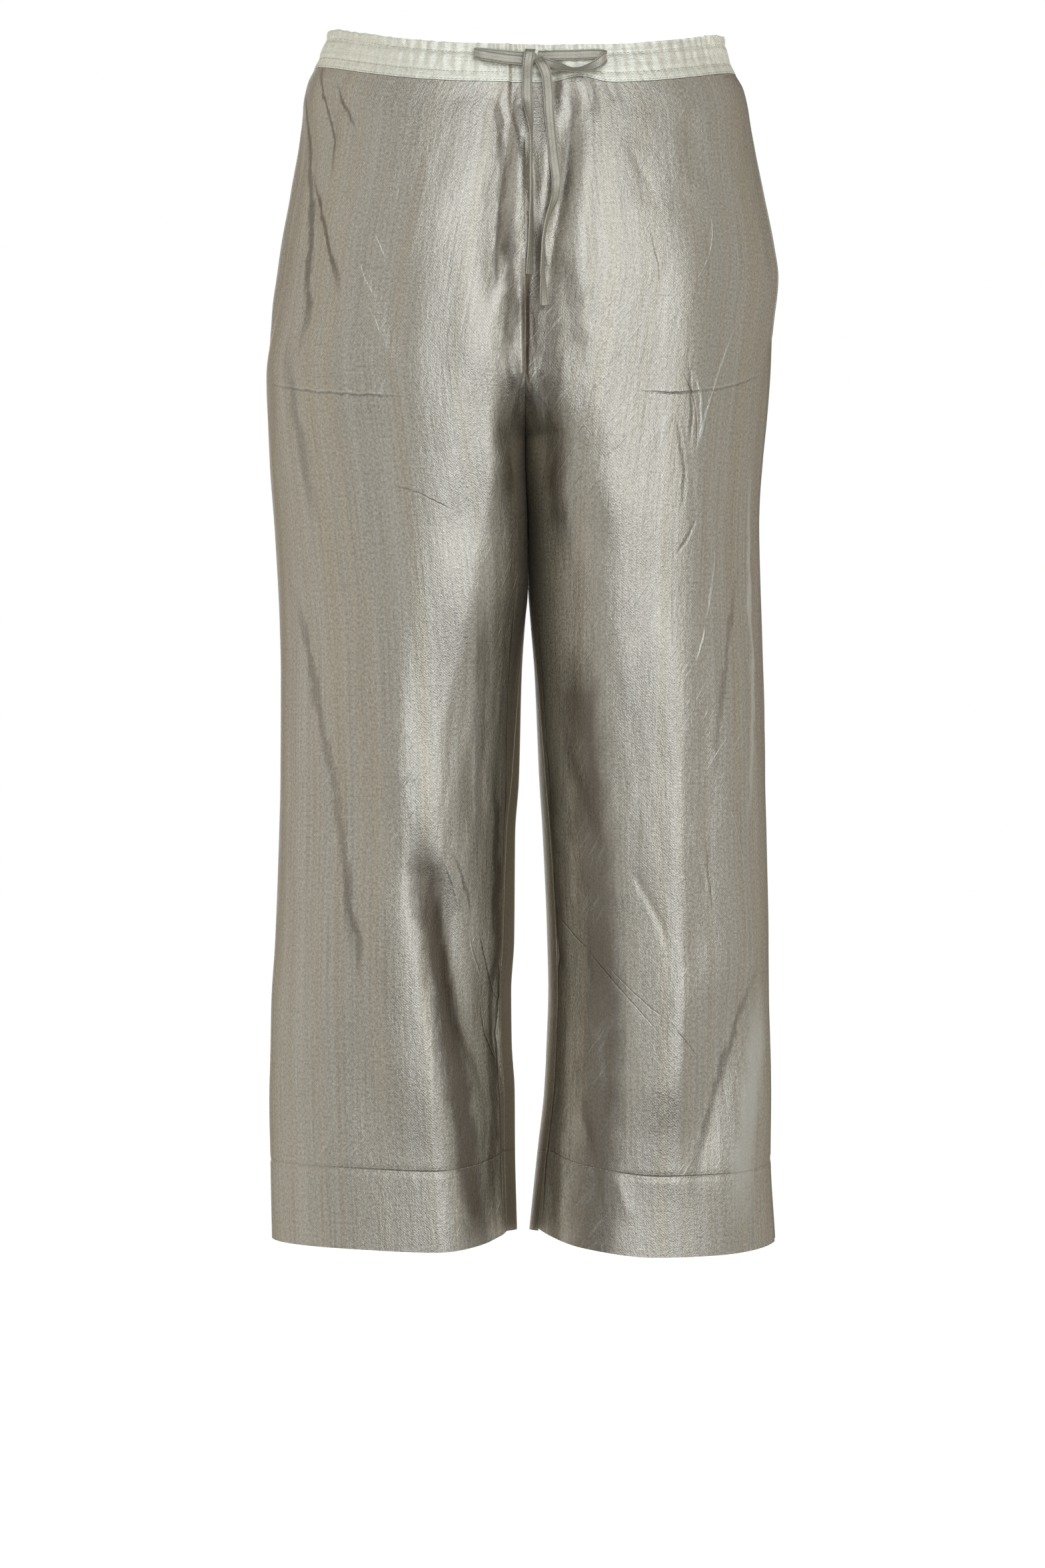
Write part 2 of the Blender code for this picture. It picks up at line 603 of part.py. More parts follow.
def tape_points(stops):
    """A smooth run through a tape's stops, with how far it turns at each point."""
    table = np.array(stops, float)
    distance = along(table[:, :3])
    count = max(6, round(distance[-1] / STOPS_APART))
    steps = np.linspace(0, distance[-1], count + 1)
    run = np.array([natural_curve(distance, table[:, axis], steps) for axis in range(4)]).T
    return run[:, :3], np.radians(run[:, 3])


def natural_curve(places, values, wanted):
    """A Catmull-Rom curve through values at uneven places."""
    tangent = np.gradient(values, places)
    row = np.clip(np.searchsorted(places, wanted) - 1, 0, len(places) - 2)
    step = places[row + 1] - places[row]
    share = (wanted - places[row]) / step
    rest = 1 - share
    start = values[row] * (1 + 2 * share) * rest ** 2 + tangent[row] * step * share * rest ** 2
    end = values[row + 1] * share ** 2 * (3 - 2 * share) - tangent[row + 1] * step * share ** 2 * rest
    return start + end


def make_tape(name, stops, level_width):
    """A flat stretch of the drawstring."""
    middle, turns = tape_points(stops)
    tangent = np.gradient(middle, axis=0)
    tangent /= np.linalg.norm(tangent, axis=1)[:, None]
    base = np.array([1.0, 0, 0]) if level_width else np.array([0, 0, 1.0])
    outer, inner = [], []
    for point, run, turn in zip(middle, tangent, turns):
        width = base * np.cos(turn) + np.array([0, 1.0, 0]) * np.sin(turn)
        width -= run * width.dot(run)
        width *= TAPE_WIDTH / 2 / np.linalg.norm(width)
        thick = np.cross(width, run)
        thick *= TAPE_WALL / 2 / np.linalg.norm(thick)
        outer.append([point - width + thick, point + width + thick])
        inner.append([point - width - thick, point + width - thick])
    return cloth_solid(name, outer, inner, TAPE_COLOUR)


def make_knot(name):
    """The knot, a rounded lump drawn in at its middle."""
    form = bmesh.new()
    bmesh.ops.create_uvsphere(form, u_segments=14, v_segments=9, radius=1.0)
    for vertex in form.verts:
        x, y, z = vertex.co
        pinch = 1 - KNOT_PINCH * np.exp(-(z / KNOT_WAIST) ** 2)
        place = np.array([x * pinch, y * pinch, z]) * KNOT_SIZE + KNOT_AT
        vertex.co = place * MM
    mesh = bpy.data.meshes.new(name)
    form.to_mesh(mesh)
    form.free()
    return add_object(name, mesh, TAPE_COLOUR)


def band_half_width(face):
    """Length of half the band's line at its foot."""
    row = int((BAND_FOOT - LINE_HEIGHTS[0]) / (LINE_HEIGHTS[1] - LINE_HEIGHTS[0]))
    return along(LINES[LEFT, face][row])[-1]


HALF_BAND = {face: band_half_width(face) for face in (FRONT, BACK)}


def main():
    clear_scene()
    for leg, side in ((LEFT, "left"), (RIGHT, "right")):
        make_panel("front_" + side, leg, FRONT)
        make_panel("back_" + side, leg, BACK)
        make_facing("pocket_facing_" + side, leg)
    make_band("waistband_front", FRONT, FRONT_ZONES)
    make_band("waistband_back", BACK, BACK_ZONES)
    make_knot("drawstring_knot")
    for name, stops in ROUTES.items():
        make_tape(name, stops, level_width="tail" in name)


main()
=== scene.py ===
"""Straight pants in satin twill, with a gathered waistband and a flat drawstring.

The packed part is the fixed frame, and this script gives it its looks. Tables are in
millimetres unless they say metres. The front faces -Y and +Z is up. Left and right are
as seen from the front.
"""

from collections import namedtuple
from math import pi

import bmesh
import bpy
import numpy as np
from bpy.props import FloatProperty, FloatVectorProperty, IntProperty, PointerProperty
from mathutils import Matrix, Vector


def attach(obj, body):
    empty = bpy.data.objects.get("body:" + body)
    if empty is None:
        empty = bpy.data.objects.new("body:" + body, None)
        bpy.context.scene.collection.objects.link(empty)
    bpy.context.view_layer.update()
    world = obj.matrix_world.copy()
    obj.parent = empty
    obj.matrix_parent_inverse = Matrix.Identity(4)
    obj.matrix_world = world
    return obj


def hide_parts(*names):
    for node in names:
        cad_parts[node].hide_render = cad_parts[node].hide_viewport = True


bl_info = {
    "name": "Straight pants",
    "version": (1, 0, 0),
    "blender": (4, 5, 0),
    "location": "3D View > Sidebar > Pants",
    "description": "Straight pants in satin twill with a gathered drawstring waist",
    "category": "Add Mesh",
}

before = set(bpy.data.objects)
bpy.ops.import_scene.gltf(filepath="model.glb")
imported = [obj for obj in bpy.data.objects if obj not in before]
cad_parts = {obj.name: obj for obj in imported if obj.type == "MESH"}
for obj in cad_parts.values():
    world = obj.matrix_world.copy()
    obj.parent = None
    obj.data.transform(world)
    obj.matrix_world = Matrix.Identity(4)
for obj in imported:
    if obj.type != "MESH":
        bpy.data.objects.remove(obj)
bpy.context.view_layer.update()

MM = 0.001
LEFT, RIGHT = -1, 1
FRONT, BACK = -1, 1
PANELS = [(leg, face) for face in (FRONT, BACK) for leg in (LEFT, RIGHT)]
SIDE = {LEFT: "left", RIGHT: "right"}
FACE = {FRONT: "front", BACK: "back"}

# The part's own form, in the same named sizes
SEAM_GAP = 0.04
BAND_TOP = 17.0
BAND_FOOT = -13.0
BAND_LAP = 0.4
FRONT_CURVE_TOP = -262.0
BACK_CURVE_TOP = -235.0
CROTCH = -325.0
HEM = -950.0
HEM_DEPTH = 64.0
FRONT_DIP = 24.0
BACK_RISE = 10.0
WAIST_LEAN = 0.015
WAIST_FADE = (-250.0, -20.0)
CURVE_POWER = 1.6
CURVE_ROOT = 1.4
TORSO_FULLNESS = 2.3
LEG_FULLNESS = 2.15
CORNER_FULLNESS = 2.05
# The torso's roundness turns into the leg's, and the corners' into the legs' own, between these
# depths below the waist
LEG_TURN = (200, 450)
CORNER_TURN = (325, 480)
MOUTH_TOP = -48.0
MOUTH_FOOT = -232.0
MOUTH_GAP = 1.6
MOUTH_FADE = 12.0
FLARE_REACH = 22.0
FACING_SHOWN = 28.0
FACING_ENDS = (-62, -205)
# In metres
FACING_SET = 1.5
FACING_GAP = 0.3
RECESS_DEPTH = 3.2
RECESS_LEFT = (-13.5, -10.0)
RECESS_RIGHT = (22.0, 30.0)
RECESS_FOOT = -70.0
PUCKER_AT, PUCKER_WIDTH, PUCKER_HEIGHT, PUCKER_LIFT = 43.0, 15.0, 12.0, 5.0
FOLD_END = 0.3
SIDE_EASE = 0.05
INNER_EASE = 0.06
EASE_HEIGHT = 25.0
GATHER_PITCH = {FRONT: 9.0, BACK: 12.0}
GATHER_START = 0.55


def rows(kind, table):
    """A table's rows as named tuples."""
    return [kind(*row) for row in table]


Outline = namedtuple("Outline", "height outer_left outer_right inner_left inner_right")
OUTLINE = rows(Outline, [
    (17, 156.5, 158.5, -0.02, 0.02), (0, 163, 162.5, -0.02, 0.02), (-13, 169.5, 169.5, -0.02, 0.02),
    (-24, 174.5, 175.5, -0.02, 0.02), (-44, 178.5, 180, -0.02, 0.02), (-66, 179, 182.5, -0.02, 0.02),
    (-109, 184.5, 190.3, -0.02, 0.02), (-152, 192.3, 198.5, -0.02, 0.02),
    (-178, 196, 201.8, -0.02, 0.02), (-216, 202, 198.8, -0.02, 0.02), (-259, 208, 196.8, -0.02, 0.02),
    (-325, 206, 192, -0.02, 0.02), (-380, 202, 188.8, 0.7, 1.4), (-431, 199, 189.5, 1.6, 3.1),
    (-453, 198, 190, 0, 4.3), (-496, 196.8, 191, -2.7, 7.5), (-582, 197.3, 193.5, -5, 11.3),
    (-625, 198.4, 194.6, -8, 14), (-711, 201.6, 196.2, -8.8, 17.7), (-754, 204.3, 196.2, -11.2, 18.5),
    (-797, 205.4, 197.3, -10.8, 17.2), (-840, 206.5, 198.4, -8.3, 15), (-883, 205.6, 198, -8.1, 10.2),
    (-950, 204.3, 201.6, -6.5, 3.2),
])

Depth = namedtuple("Depth", "height front back front_corner back_corner corner_depth split")
DEPTHS = rows(Depth, [
    (17, 117, 108, 0.17, 0.2, 0.5, 0.87), (-13, 120, 112, 0.17, 0.2, 0.5, 0.87),
    (-44, 125, 120, 0.17, 0.2, 0.5, 0.87), (-80, 129, 130, 0.17, 0.2, 0.5, 0.87),
    (-130, 131, 142, 0.17, 0.2, 0.5, 0.86), (-180, 131.5, 149, 0.17, 0.2, 0.5, 0.83),
    (-235, 130, 149, 0.17, 0.2, 0.5, 0.78), (-280, 127, 143, 0.17, 0.2, 0.5, 0.72),
    (-325, 122, 134, 0.19, 0.22, 0.55, 0.66), (-400, 113, 118, 0.31, 0.33, 0.75, 0.56),
    (-500, 103, 105, 0.43, 0.43, 0.95, 0.52), (-600, 95, 98, 0.5, 0.5, 1, 0.5),
    (-760, 86, 92, 0.5, 0.5, 1, 0.5), (-880, 81, 87, 0.5, 0.5, 1, 0.5), (-950, 79, 84, 0.5, 0.5, 1, 0.5),
])

Seam = namedtuple("Seam", "height side_left side_right in_left in_right lean flare_left flare_right")
SEAMS = rows(Seam, [
    (17, 2, 0, 0, 0, 0, 0, 0), (-48, 2, 4, 0, 0, 0, 0.4, 0.2), (-70, 2, 8, 0, 0, 0, 2.6, 1.6),
    (-110, 2, 13, 0, 0, 0, 4.2, 2.0), (-190, 2, 20, 0, 0, 0, 4.4, 2.4), (-222, 2, 22, 0, 0, 0, 2.0, 1.6),
    (-236, 2, 23, 0, 0, 0, 0, 0), (-325, 2, 27, 0, 0, 0, 0, 0), (-380, 2, 27, 3, 4, -0.03, 0, 0),
    (-420, 2, 27, 9, 12, -0.03, 0, 0), (-480, 2, 27, 24, 27, 0, 0, 0), (-620, 2, 26, 37, 36, 0, 0, 0),
    (-740, 2, 18, 39, 38, 0, 0, 0), (-950, 2, 12, 36, 34, 0, 0, 0),
])

Drop = namedtuple("Drop", "share front_left front_right back")
HEM_DROPS = rows(Drop, [
    (0.0, 0, 2, 0), (0.3, 3, 8, -1), (0.5, 5, 9, -2), (0.75, 1, 3, -4), (1.0, -8, -10, -8),
])
HEM_DROP_FADE = (-840.0, -700.0)

# The largest folds: troughs, or ridges where the depth is below zero
Fold = namedtuple("Fold", "upper_x upper_z lower_x lower_z bow width depth")
FOLDS = {
    FRONT: rows(Fold, [
        (-13, -32, -28, -225, 3, 6, 0.8), (-4, -40, -16, -195, 3, 8, -2.6),
        (-3, -46, 5, -120, 3, 5, 2.2), (20, -34, 14, -150, 0, 6, -2.0), (34, -32, 22, -190, 4, 9, 0.8),
        (47, -36, 40, -215, 2, 9, -1.6), (-158, -18, -155, -90, 0, 8, 2.4),
        (-145, -24, -131, -75, 2, 8, 2.0), (-167, -90, -176, -240, 2, 8, 2.6),
        (-161, -135, -150, -220, 0, 8, 1.8), (90, -40, 96, -130, 0, 12, 1.6),
        (128, -34, 140, -110, 0, 11, 1.8), (-36, -250, -60, -420, 6, 16, 2.6),
        (34, -260, 62, -430, -6, 16, 2.6), (-194, -400, -134, -720, 14, 20, 2.0),
        (-30, -310, -52, -640, -10, 20, 3.2), (-74, -640, -26, -820, 5, 17, 4.6),
        (-118, -610, -96, -880, 0, 22, -3.0), (31, -306, 34, -560, 4, 20, 3.2),
        (62, -330, 66, -700, 0, 24, -2.4), (186, -720, 132, -900, -6, 19, 4.4),
        (150, -700, 96, -860, -6, 22, -2.6),
    ]),
    BACK: rows(Fold, [
        (-14, -30, -22, -170, 2, 12, 3.0), (15, -30, 25, -150, 2, 12, 3.0),
        (-62, -20, -66, -120, 0, 12, 2.4), (58, -20, 66, -130, 0, 12, 2.4),
        (-118, -22, -124, -100, 0, 12, 2.2), (112, -22, 120, -110, 0, 12, 2.2),
        (-30, -300, -120, -420, -14, 20, 4.6), (32, -300, 118, -430, 14, 20, 4.6),
        (-40, -360, -96, -560, -8, 20, 3.6), (42, -365, 98, -580, 8, 20, 3.6),
        (-150, -380, -128, -800, 10, 22, 3.6), (146, -390, 122, -790, -10, 22, 3.6),
        (-70, -560, -58, -900, 4, 20, 3.2), (74, -570, 62, -910, -4, 20, 3.2),
    ]),
}

# Broad soft planes of the fronts, too slight for the part's own folds
BROAD = rows(Fold, [
    (-122, -440, -124, -960, 0, 30, 2.6), (-38, -120, -62, -560, 0, 22, -3.2),
    (-80, -60, -92, -560, 0, 20, -2.8), (-112, -40, -120, -520, 0, 36, 3.4),
    (130, -110, 133, -470, 0, 22, -4.2), (164, -60, 164, -560, 0, 22, 2.6),
    (144, -480, 146, -800, 0, 18, 1.6),
])

# Heights of a panel's rows at the side seam and at the centre or inner seam. They run level over
# this share of the panel from the side seam.
ROWS_LEVEL = 0.35
Row = namedtuple("Row", "side inner")
PANEL_ROWS = rows(Row, [
    (-13.05, -13.05), (-114, -114), (-205, -205), (-232, -232), (-256, -252),
    (-276, -268), (-293, -284), (-309, -298), (-325, -310), (-340, -318),
    (-355, -323), (-369, -325), (-384, -334), (-402, -356), (-426, -392),
    (-456, -434), (-492, -478), (-536, -528), (-582, -580), (-630, -630), (-780, -780), (-950, -950),
])

# Fine creases, seen from the front or the back, from one end to the other: their depth, their
# widths to the left and right of the line, and the power of their rounded profile
Crease = namedtuple("Crease", "depth left right path power", defaults=(1.7,))
CREASES = {
    FRONT: rows(Crease, [
        # Left leg, outer fold
        (0.5, 6, 14, [(-194, -417), (-172, -466), (-157, -545), (-150, -615), (-143, -660),
         (-132, -715)]),
        # Left leg, below the bright ridge
        (-2.8, 18, 12, [(-92, -430), (-98, -560), (-95, -680), (-77, -800), (-68, -960)]),
        (3.8, 9, 14, [(-68, -632), (-64, -672), (-61, -700), (-54, -751), (-45, -785), (-31, -815),
         (-26, -850)]),
        (-1.6, 7, 7, [(-64, -660), (-50, -700), (-40, -750), (-36, -790)]),
        (1.8, 7, 7, [(-40, -790), (-34, -820), (-30, -860), (-32, -900)]),
        (1.2, 6, 5, [(-40, -545), (-40, -590), (-42, -630)]),
        (-0.7, 4, 4, [(-26, -690), (-22, -740), (-24, -790)]),
        # Left leg, pucker at the inseam
        (1.2, 2.5, 2.5, [(-12, -712), (-18, -722), (-23, -735)]),
        (1.0, 2.5, 2.5, [(-12, -770), (-17, -778), (-22, -790)]),
        # Left hip
        (-1.0, 6, 6, [(-130, -180), (-116, -225), (-101, -276)]),
        (0.8, 3, 3, [(-155, -46), (-152, -70), (-151, -90)]),
        (0.7, 3, 3, [(-145, -38), (-141, -56), (-138, -69)]),
        (0.9, 3, 3, [(-170, -39), (-169, -90), (-168, -148)]),
        (0.8, 4, 3, [(-156, -143), (-152, -168), (-148, -191)]),
        (0.7, 4, 4, [(-168, -190), (-160, -230), (-152, -262)]),
        # Beside the centre front
        (0.9, 2, 2, [(-21, -50), (-17, -62), (-14.6, -77)]),
        (0.8, 1.6, 1.6, [(-6, -51), (-3, -55), (1, -59)]),
        (0.8, 1.6, 1.6, [(-4, -77), (-1, -80), (3, -82)]),
        (4.4, 12, 5, [(-13, -24), (-14, -90), (-19, -118), (-24, -170), (-28, -225)]),
        (4.8, 12, 7, [(33, -26), (35, -70), (31, -110), (23, -150), (17, -200), (14, -240)]),
        (1.0, 3, 2.5, [(49, -24), (52, -44), (51, -66)]),
        (0.8, 2.5, 2.5, [(60, -22), (65, -40), (72, -56)]),
        (-1.4, 5, 5, [(-17, -220), (-10, -262), (-3, -284)]),
        (2.6, 8, 8, [(-8, -190), (-14, -235), (-16, -285), (-20, -350)]),
        (8.0, 14, 32, [(4, -160), (3, -208), (8, -265), (10, -330), (12, -380)], 1.1),
        # Right hip
        (1.6, 14, 18, [(100, -24), (106, -70), (120, -116), (144, -150)]),
        (0.5, 2.5, 3.5, [(78, -86), (86, -96), (92, -110), (104, -122)]),
        # Right leg, the inner side
        (-3.4, 26, 12, [(122, -400), (122, -480), (122, -600), (123, -720), (121, -820),
         (112, -960)]),
        (1.8, 12, 9, [(36, -560), (52, -620), (66, -655), (80, -672)]),
        (0.9, 2, 3, [(80, -646), (92, -668), (106, -695), (113, -718)]),
        (-1.0, 5, 5, [(34, -620), (36, -650), (36, -690)]),
        (0.9, 4, 4, [(56, -770), (62, -800), (66, -830)]),
        (1.6, 7, 5, [(40, -840), (50, -868), (56, -900), (52, -925)]),
        (-0.9, 5, 5, [(66, -885), (78, -915), (84, -935)]),
        # Right leg, pucker at the inseam
        (1.2, 2.5, 2.5, [(22, -700), (26, -722), (29, -735)]),
        # Right leg, the outer side
        (0.9, 2.5, 2, [(130, -630), (140, -655), (145, -675)]),
        (-2.6, 14, 20, [(196, -745), (186, -800), (176, -850), (168, -900), (166, -960)]),
        (-0.9, 5, 4, [(178, -330), (180, -420), (181, -520), (180, -600)]),
        (0.6, 3, 3, [(120, -285), (128, -330), (132, -400)]),
    ]),
    BACK: rows(Crease, [
        # Seat, knees and calves
        (1.4, 5, 8, [(-40, -310), (-74, -345), (-112, -372), (-146, -390)]),
        (1.5, 8, 5, [(44, -312), (80, -352), (118, -380), (150, -392)]),
        (1.2, 6, 4, [(-52, -420), (-78, -470), (-96, -530)]),
        (1.2, 4, 6, [(58, -428), (80, -482), (94, -546)]),
        (0.9, 2.5, 4, [(-150, -560), (-118, -584), (-84, -596)]),
        (0.8, 2.5, 4, [(-158, -610), (-124, -622), (-92, -628)]),
        (0.9, 4, 2.5, [(152, -570), (120, -590), (88, -600)]),
        (-0.6, 3, 3, [(150, -640), (118, -655), (80, -660)]),
        (1.3, 6, 8, [(-62, -700), (-54, -770), (-64, -850), (-60, -910)]),
        (1.4, 8, 6, [(66, -690), (78, -760), (72, -840), (80, -905)]),
        (1.2, 7, 7, [(-150, -720), (-140, -800), (-150, -890)]),
        (1.1, 7, 7, [(148, -730), (138, -810), (146, -900)]),
        (0.8, 3, 3, [(-96, -28), (-98, -70), (-94, -118)]),
        (0.8, 3, 3, [(-40, -22), (-42, -60), (-38, -96)]),
        (0.8, 3, 3, [(38, -20), (42, -64), (40, -110)]),
        (0.7, 3, 3, [(88, -26), (92, -60), (90, -104)]),
    ]),
}
CREASE_STEP = 4.0
# Creases run out over these widths at the side seam and at the centre or inner seam
CREASE_SIDE_END, CREASE_INNER_END = 7, 5
# On its inner half the cloth lies on the part's form where it faces another leg: how much of
# its direction points forwards or backwards from there on
TURNED_IN = (0.05, 0.4)
# Panels roll in at their seams. Under the seat the centre back seam faces sideways, and a roll
# there would open it.
SEAM_ROLL, SEAM_ROLL_WIDTH, BACK_ROLL_END = 0.3, 1.0, (-215, -190)
MOUTH_ROLL_FADE = 6
HEM_DIMPLE, HEM_DIMPLE_WIDTH = 0.6, 1.6
# The cloth's unevenness: wide soft waves, and a rumple of small ones in its restless parts, both
# fading out near the edges. The waves' lengths lie between the shortest and the longest.
UNEVEN, RUMPLED, RESTLESS, WAVE_FADE = 0.55, 0.22, (-0.9, 0.9), 14
Wave = namedtuple("Wave", "shortest longest count stretch", defaults=(1.0,))
WIDE_WAVES, RESTLESS_WAVES = Wave(55, 150, 10, 1.8), Wave(140, 320, 6, 1.6)
SMALL_WAVES, PUCKER_WAVES = Wave(12, 40, 26, 3.2), Wave(3.2, 8.5, 14, 9.0)
FRILL_WAVES, TAPE_WAVES = Wave(5, 16, 8), Wave(6, 20, 6)

# Hairlines and soft folds in the finish, seen from the front or the back, running across or
# down. A hairline stands out where its depth is below zero, and a soft fold has no depth and is
# only painted shade, or a painted highlight where its mark is below zero. The mark is how much
# painted shade darkens the line or, below zero, how much a painted highlight pales it.
Hair = namedtuple("Hair", "across depth width mark path")
HAIRS = {
    (LEFT, FRONT): rows(Hair, [
        # Packing creases
        (True, 0.42, 1.2, 0.3, [(-204, -266), (-182, -270), (-160, -276), (-128, -286), (-84, -281)]),
        (True, -0.2, 1.2, -0.3, [(-204, -264), (-182, -268), (-160, -274), (-128, -284), (-84, -279)]),
        # The outer folds' dark lines, in painted shade
        (False, 0, 6.5, 0.38, [(-188, -425), (-170, -470), (-157, -545), (-150, -615), (-143, -660),
         (-130, -730)]),
        (False, 0, 3.5, 0.3, [(-147, -640), (-136, -690), (-128, -750)]),
        # Left hip: painted shade of folds from the pocket and from the band, and painted highlights on small
        # ridges
        (False, 0.2, 3.2, 0.65, [(-158, 0), (-155.5, -55), (-152, -110)]),
        (False, 0.2, 2.8, 0.6, [(-149, -30), (-142, -50), (-132, -72)]),
        (False, 0, 6, 0.6, [(-170, 0), (-169, -95), (-170, -143), (-174, -192), (-178, -250)]),
        (False, 0, 4.5, 0.65, [(-169, -96), (-158, -148), (-151, -172), (-146, -204)]),
        (False, 0, 9, 0.3, [(-186, -230), (-180, -300), (-166, -380)]),
        (False, -0.35, 1.2, -0.4, [(-118, -154), (-114, -164), (-109, -176)]),
        (False, -0.3, 1.4, -0.3, [(-131, -176), (-126, -188), (-120, -202)]),
        (False, -0.3, 1.4, -0.3, [(-124, -208), (-118, -222), (-112, -236)]),
        # Beside the centre front, painted shade in the folds
        (False, 0, 4, 0.6, [(-15, -20), (-17, -93), (-22, -145), (-28, -215)]),
        (False, 0.3, 3, 0.6, [(-10, -48), (-6, -75), (-3, -104)]),
        (False, 0, 9, 0.75, [(-14, -130), (-12, -190), (-9, -280)]),
        (False, 0, 14, 0.6, [(-14, -250), (-18, -310), (-24, -390)]),
        # Left leg: painted shade in its folds and along its inner side, and painted highlights on small
        # ridges
        (False, 0, 19, 0.82, [(-88, -606), (-80, -665), (-68, -740), (-55, -805), (-45, -860),
         (-37, -968)]),
        (False, 0, 9, 0.4, [(-36, -430), (-36, -560), (-38, -650)]),
        (False, 0, 9, 0.7, [(-25, -560), (-25, -740), (-28, -930)]),
        (False, 0, 10, 0.35, [(-34, -790), (-31, -850), (-33, -980)]),
        (False, -0.4, 2.2, -0.4, [(-66, -640), (-56, -668), (-49, -700)]),
        (False, 0.4, 2.2, 0.4, [(-58, -636), (-48, -664), (-42, -690)]),
        (False, 0.4, 1.5, 0.5, [(-37, -700), (-29, -735), (-21, -758)]),
        (False, 0.35, 1.4, 0.5, [(-35, -760), (-29, -790), (-19, -812)]),
        (False, -0.3, 1.4, -0.4, [(-44, -706), (-40, -724), (-34, -742)]),
        (True, 0.3, 1.2, 0.3, [(-108, -352), (-84, -358), (-58, -372)]),
        # The inner seams
        (False, 0.4, 1.7, 0.8, [(-9, -420), (-11.5, -511), (-14.7, -571), (-20.9, -702), (-22.5, -784),
         (-21.5, -843), (-17.3, -935)]),
    ]),
    (RIGHT, FRONT): rows(Hair, [
        # Packing creases
        (True, 0.42, 1.2, 0.3, [(190, -256), (182, -264), (166, -271), (142, -276), (84, -279)]),
        (True, -0.2, 1.2, -0.3, [(190, -254), (182, -262), (166, -269), (142, -274), (84, -277)]),
        # The outer folds' dark lines, in painted shade
        (False, 0, 5, 0.45, [(186, -726), (167, -778), (155, -812), (144, -846), (136, -878),
         (131, -925)]),
        # Beside the centre front, painted shade in the folds
        (False, 0, 9, 0.8, [(6, -120), (8, -180), (9, -232), (10, -300)]),
        (False, 0, 17, 0.75, [(16, -190), (21, -265), (27, -340), (30, -420)]),
        (False, 0, 11, 0.6, [(30, -165), (37, -207), (46, -265)]),
        (False, 0, 6, 0.5, [(34, -20), (34, -80), (28, -150)]),
        # Right hip: painted shade in small folds and painted highlights on its hairlines
        (False, 0, 4, 0.3, [(49, -16), (53, -40), (54, -74)]),
        (False, 0, 3, 0.3, [(62, -14), (68, -36), (76, -62)]),
        (False, -0.4, 1.4, -0.4, [(145, -136), (146, -158), (143, -175), (131, -194)]),
        (False, -0.6, 2.0, -0.6, [(164, -222), (162, -240), (150, -264), (139, -308), (133, -330)]),
        (False, -0.7, 2.4, -0.5, [(133, -262), (139, -290), (137, -318)]),
        (False, 0.6, 2.4, 0.4, [(127, -256), (131, -286), (128, -322)]),
        (False, 0.6, 3.0, 0.3, [(116, -296), (124, -330), (122, -372)]),
        (False, 0.6, 2.4, 0.3, [(134, -376), (128, -390), (118, -406)]),
        (False, -0.5, 1.8, -0.5, [(150, -396), (147, -430), (142, -458)]),
        (False, -0.5, 1.8, -0.5, [(142, -460), (139, -474), (133, -490)]),
        (False, 0, 4, 0.35, [(170, -410), (158, -486), (150, -580)]),
        (False, 0.35, 1.3, 0.3, [(121, -258), (130, -278), (135, -302), (132, -326)]),
        (False, 0.2, 1.2, 0.2, [(97, -150), (103, -176), (105, -198)]),
        # Right leg: painted shade in its folds and along its inner side, and painted highlights on its outer
        # side and small ridges
        (False, 0, 30, 0.75, [(38, -470), (48, -600), (60, -700), (58, -805), (48, -1010)]),
        (False, 0, 12, 0.5, [(20, -560), (26, -700), (28, -805), (24, -1010)]),
        (False, 0, 5, -0.6, [(178, -330), (180, -457), (177, -620)]),
        (False, 0, 17, -0.55, [(190, -740), (179, -840), (172, -940)]),
        (False, -0.35, 1.2, -0.3, [(157, -590), (166, -616), (176, -662)]),
        (False, 0.3, 1.6, 0.4, [(142, -628), (145, -655), (147, -684)]),
        (True, 0.3, 1.2, 0.3, [(26, -690), (38, -704), (50, -718)]),
        (True, 0.35, 1.3, 0.3, [(48, -714), (68, -740), (84, -756), (106, -781)]),
        (True, 0.3, 1.2, 0.3, [(62, -725), (88, -752), (112, -771)]),
        (True, -0.35, 1.2, -0.3, [(114, -770), (126, -786), (139, -802)]),
        # The inner seams
        (False, 0.4, 1.7, 0.8, [(8.5, -430), (18.2, -571), (22, -640), (25.2, -702), (26.5, -740),
         (23.5, -843), (12, -935)]),
    ]),
    (LEFT, BACK): rows(Hair, [
        # Packing creases
        (True, 0.4, 1.2, 0.3, [(-202, -262), (-150, -270), (-84, -281)]),
        # Behind the knees
        (True, 0.4, 1.4, 0.3, [(-154, -566), (-118, -584), (-84, -592)]),
    ]),
    (RIGHT, BACK): rows(Hair, [
        # Packing creases
        (True, 0.4, 1.2, 0.3, [(188, -264), (146, -275), (76, -279)]),
        # Behind the knees
        (True, 0.4, 1.4, 0.3, [(150, -572), (120, -590), (88, -600)]),
        (True, -0.35, 1.3, -0.3, [(148, -640), (118, -652), (84, -655)]),
    ]),
}
# A fold or hairline runs out over half of its own half length, or over this length if that is less
HAIR_END = 45
# A soft fold's painted shade is darkest, and its painted highlight palest, over this share of its width
FOLD_CORE = 0.2
# How far the edges of a fold or hairline fray, as a share of its width, and at most
FRAY, MOST_FRAY = 0.9, 5.0
# The hem's line in the finish
HEM_LINE_DEPTH, HEM_LINE_WIDTH, HEM_LINE_MARK = 0.35, 1.3, 0.3
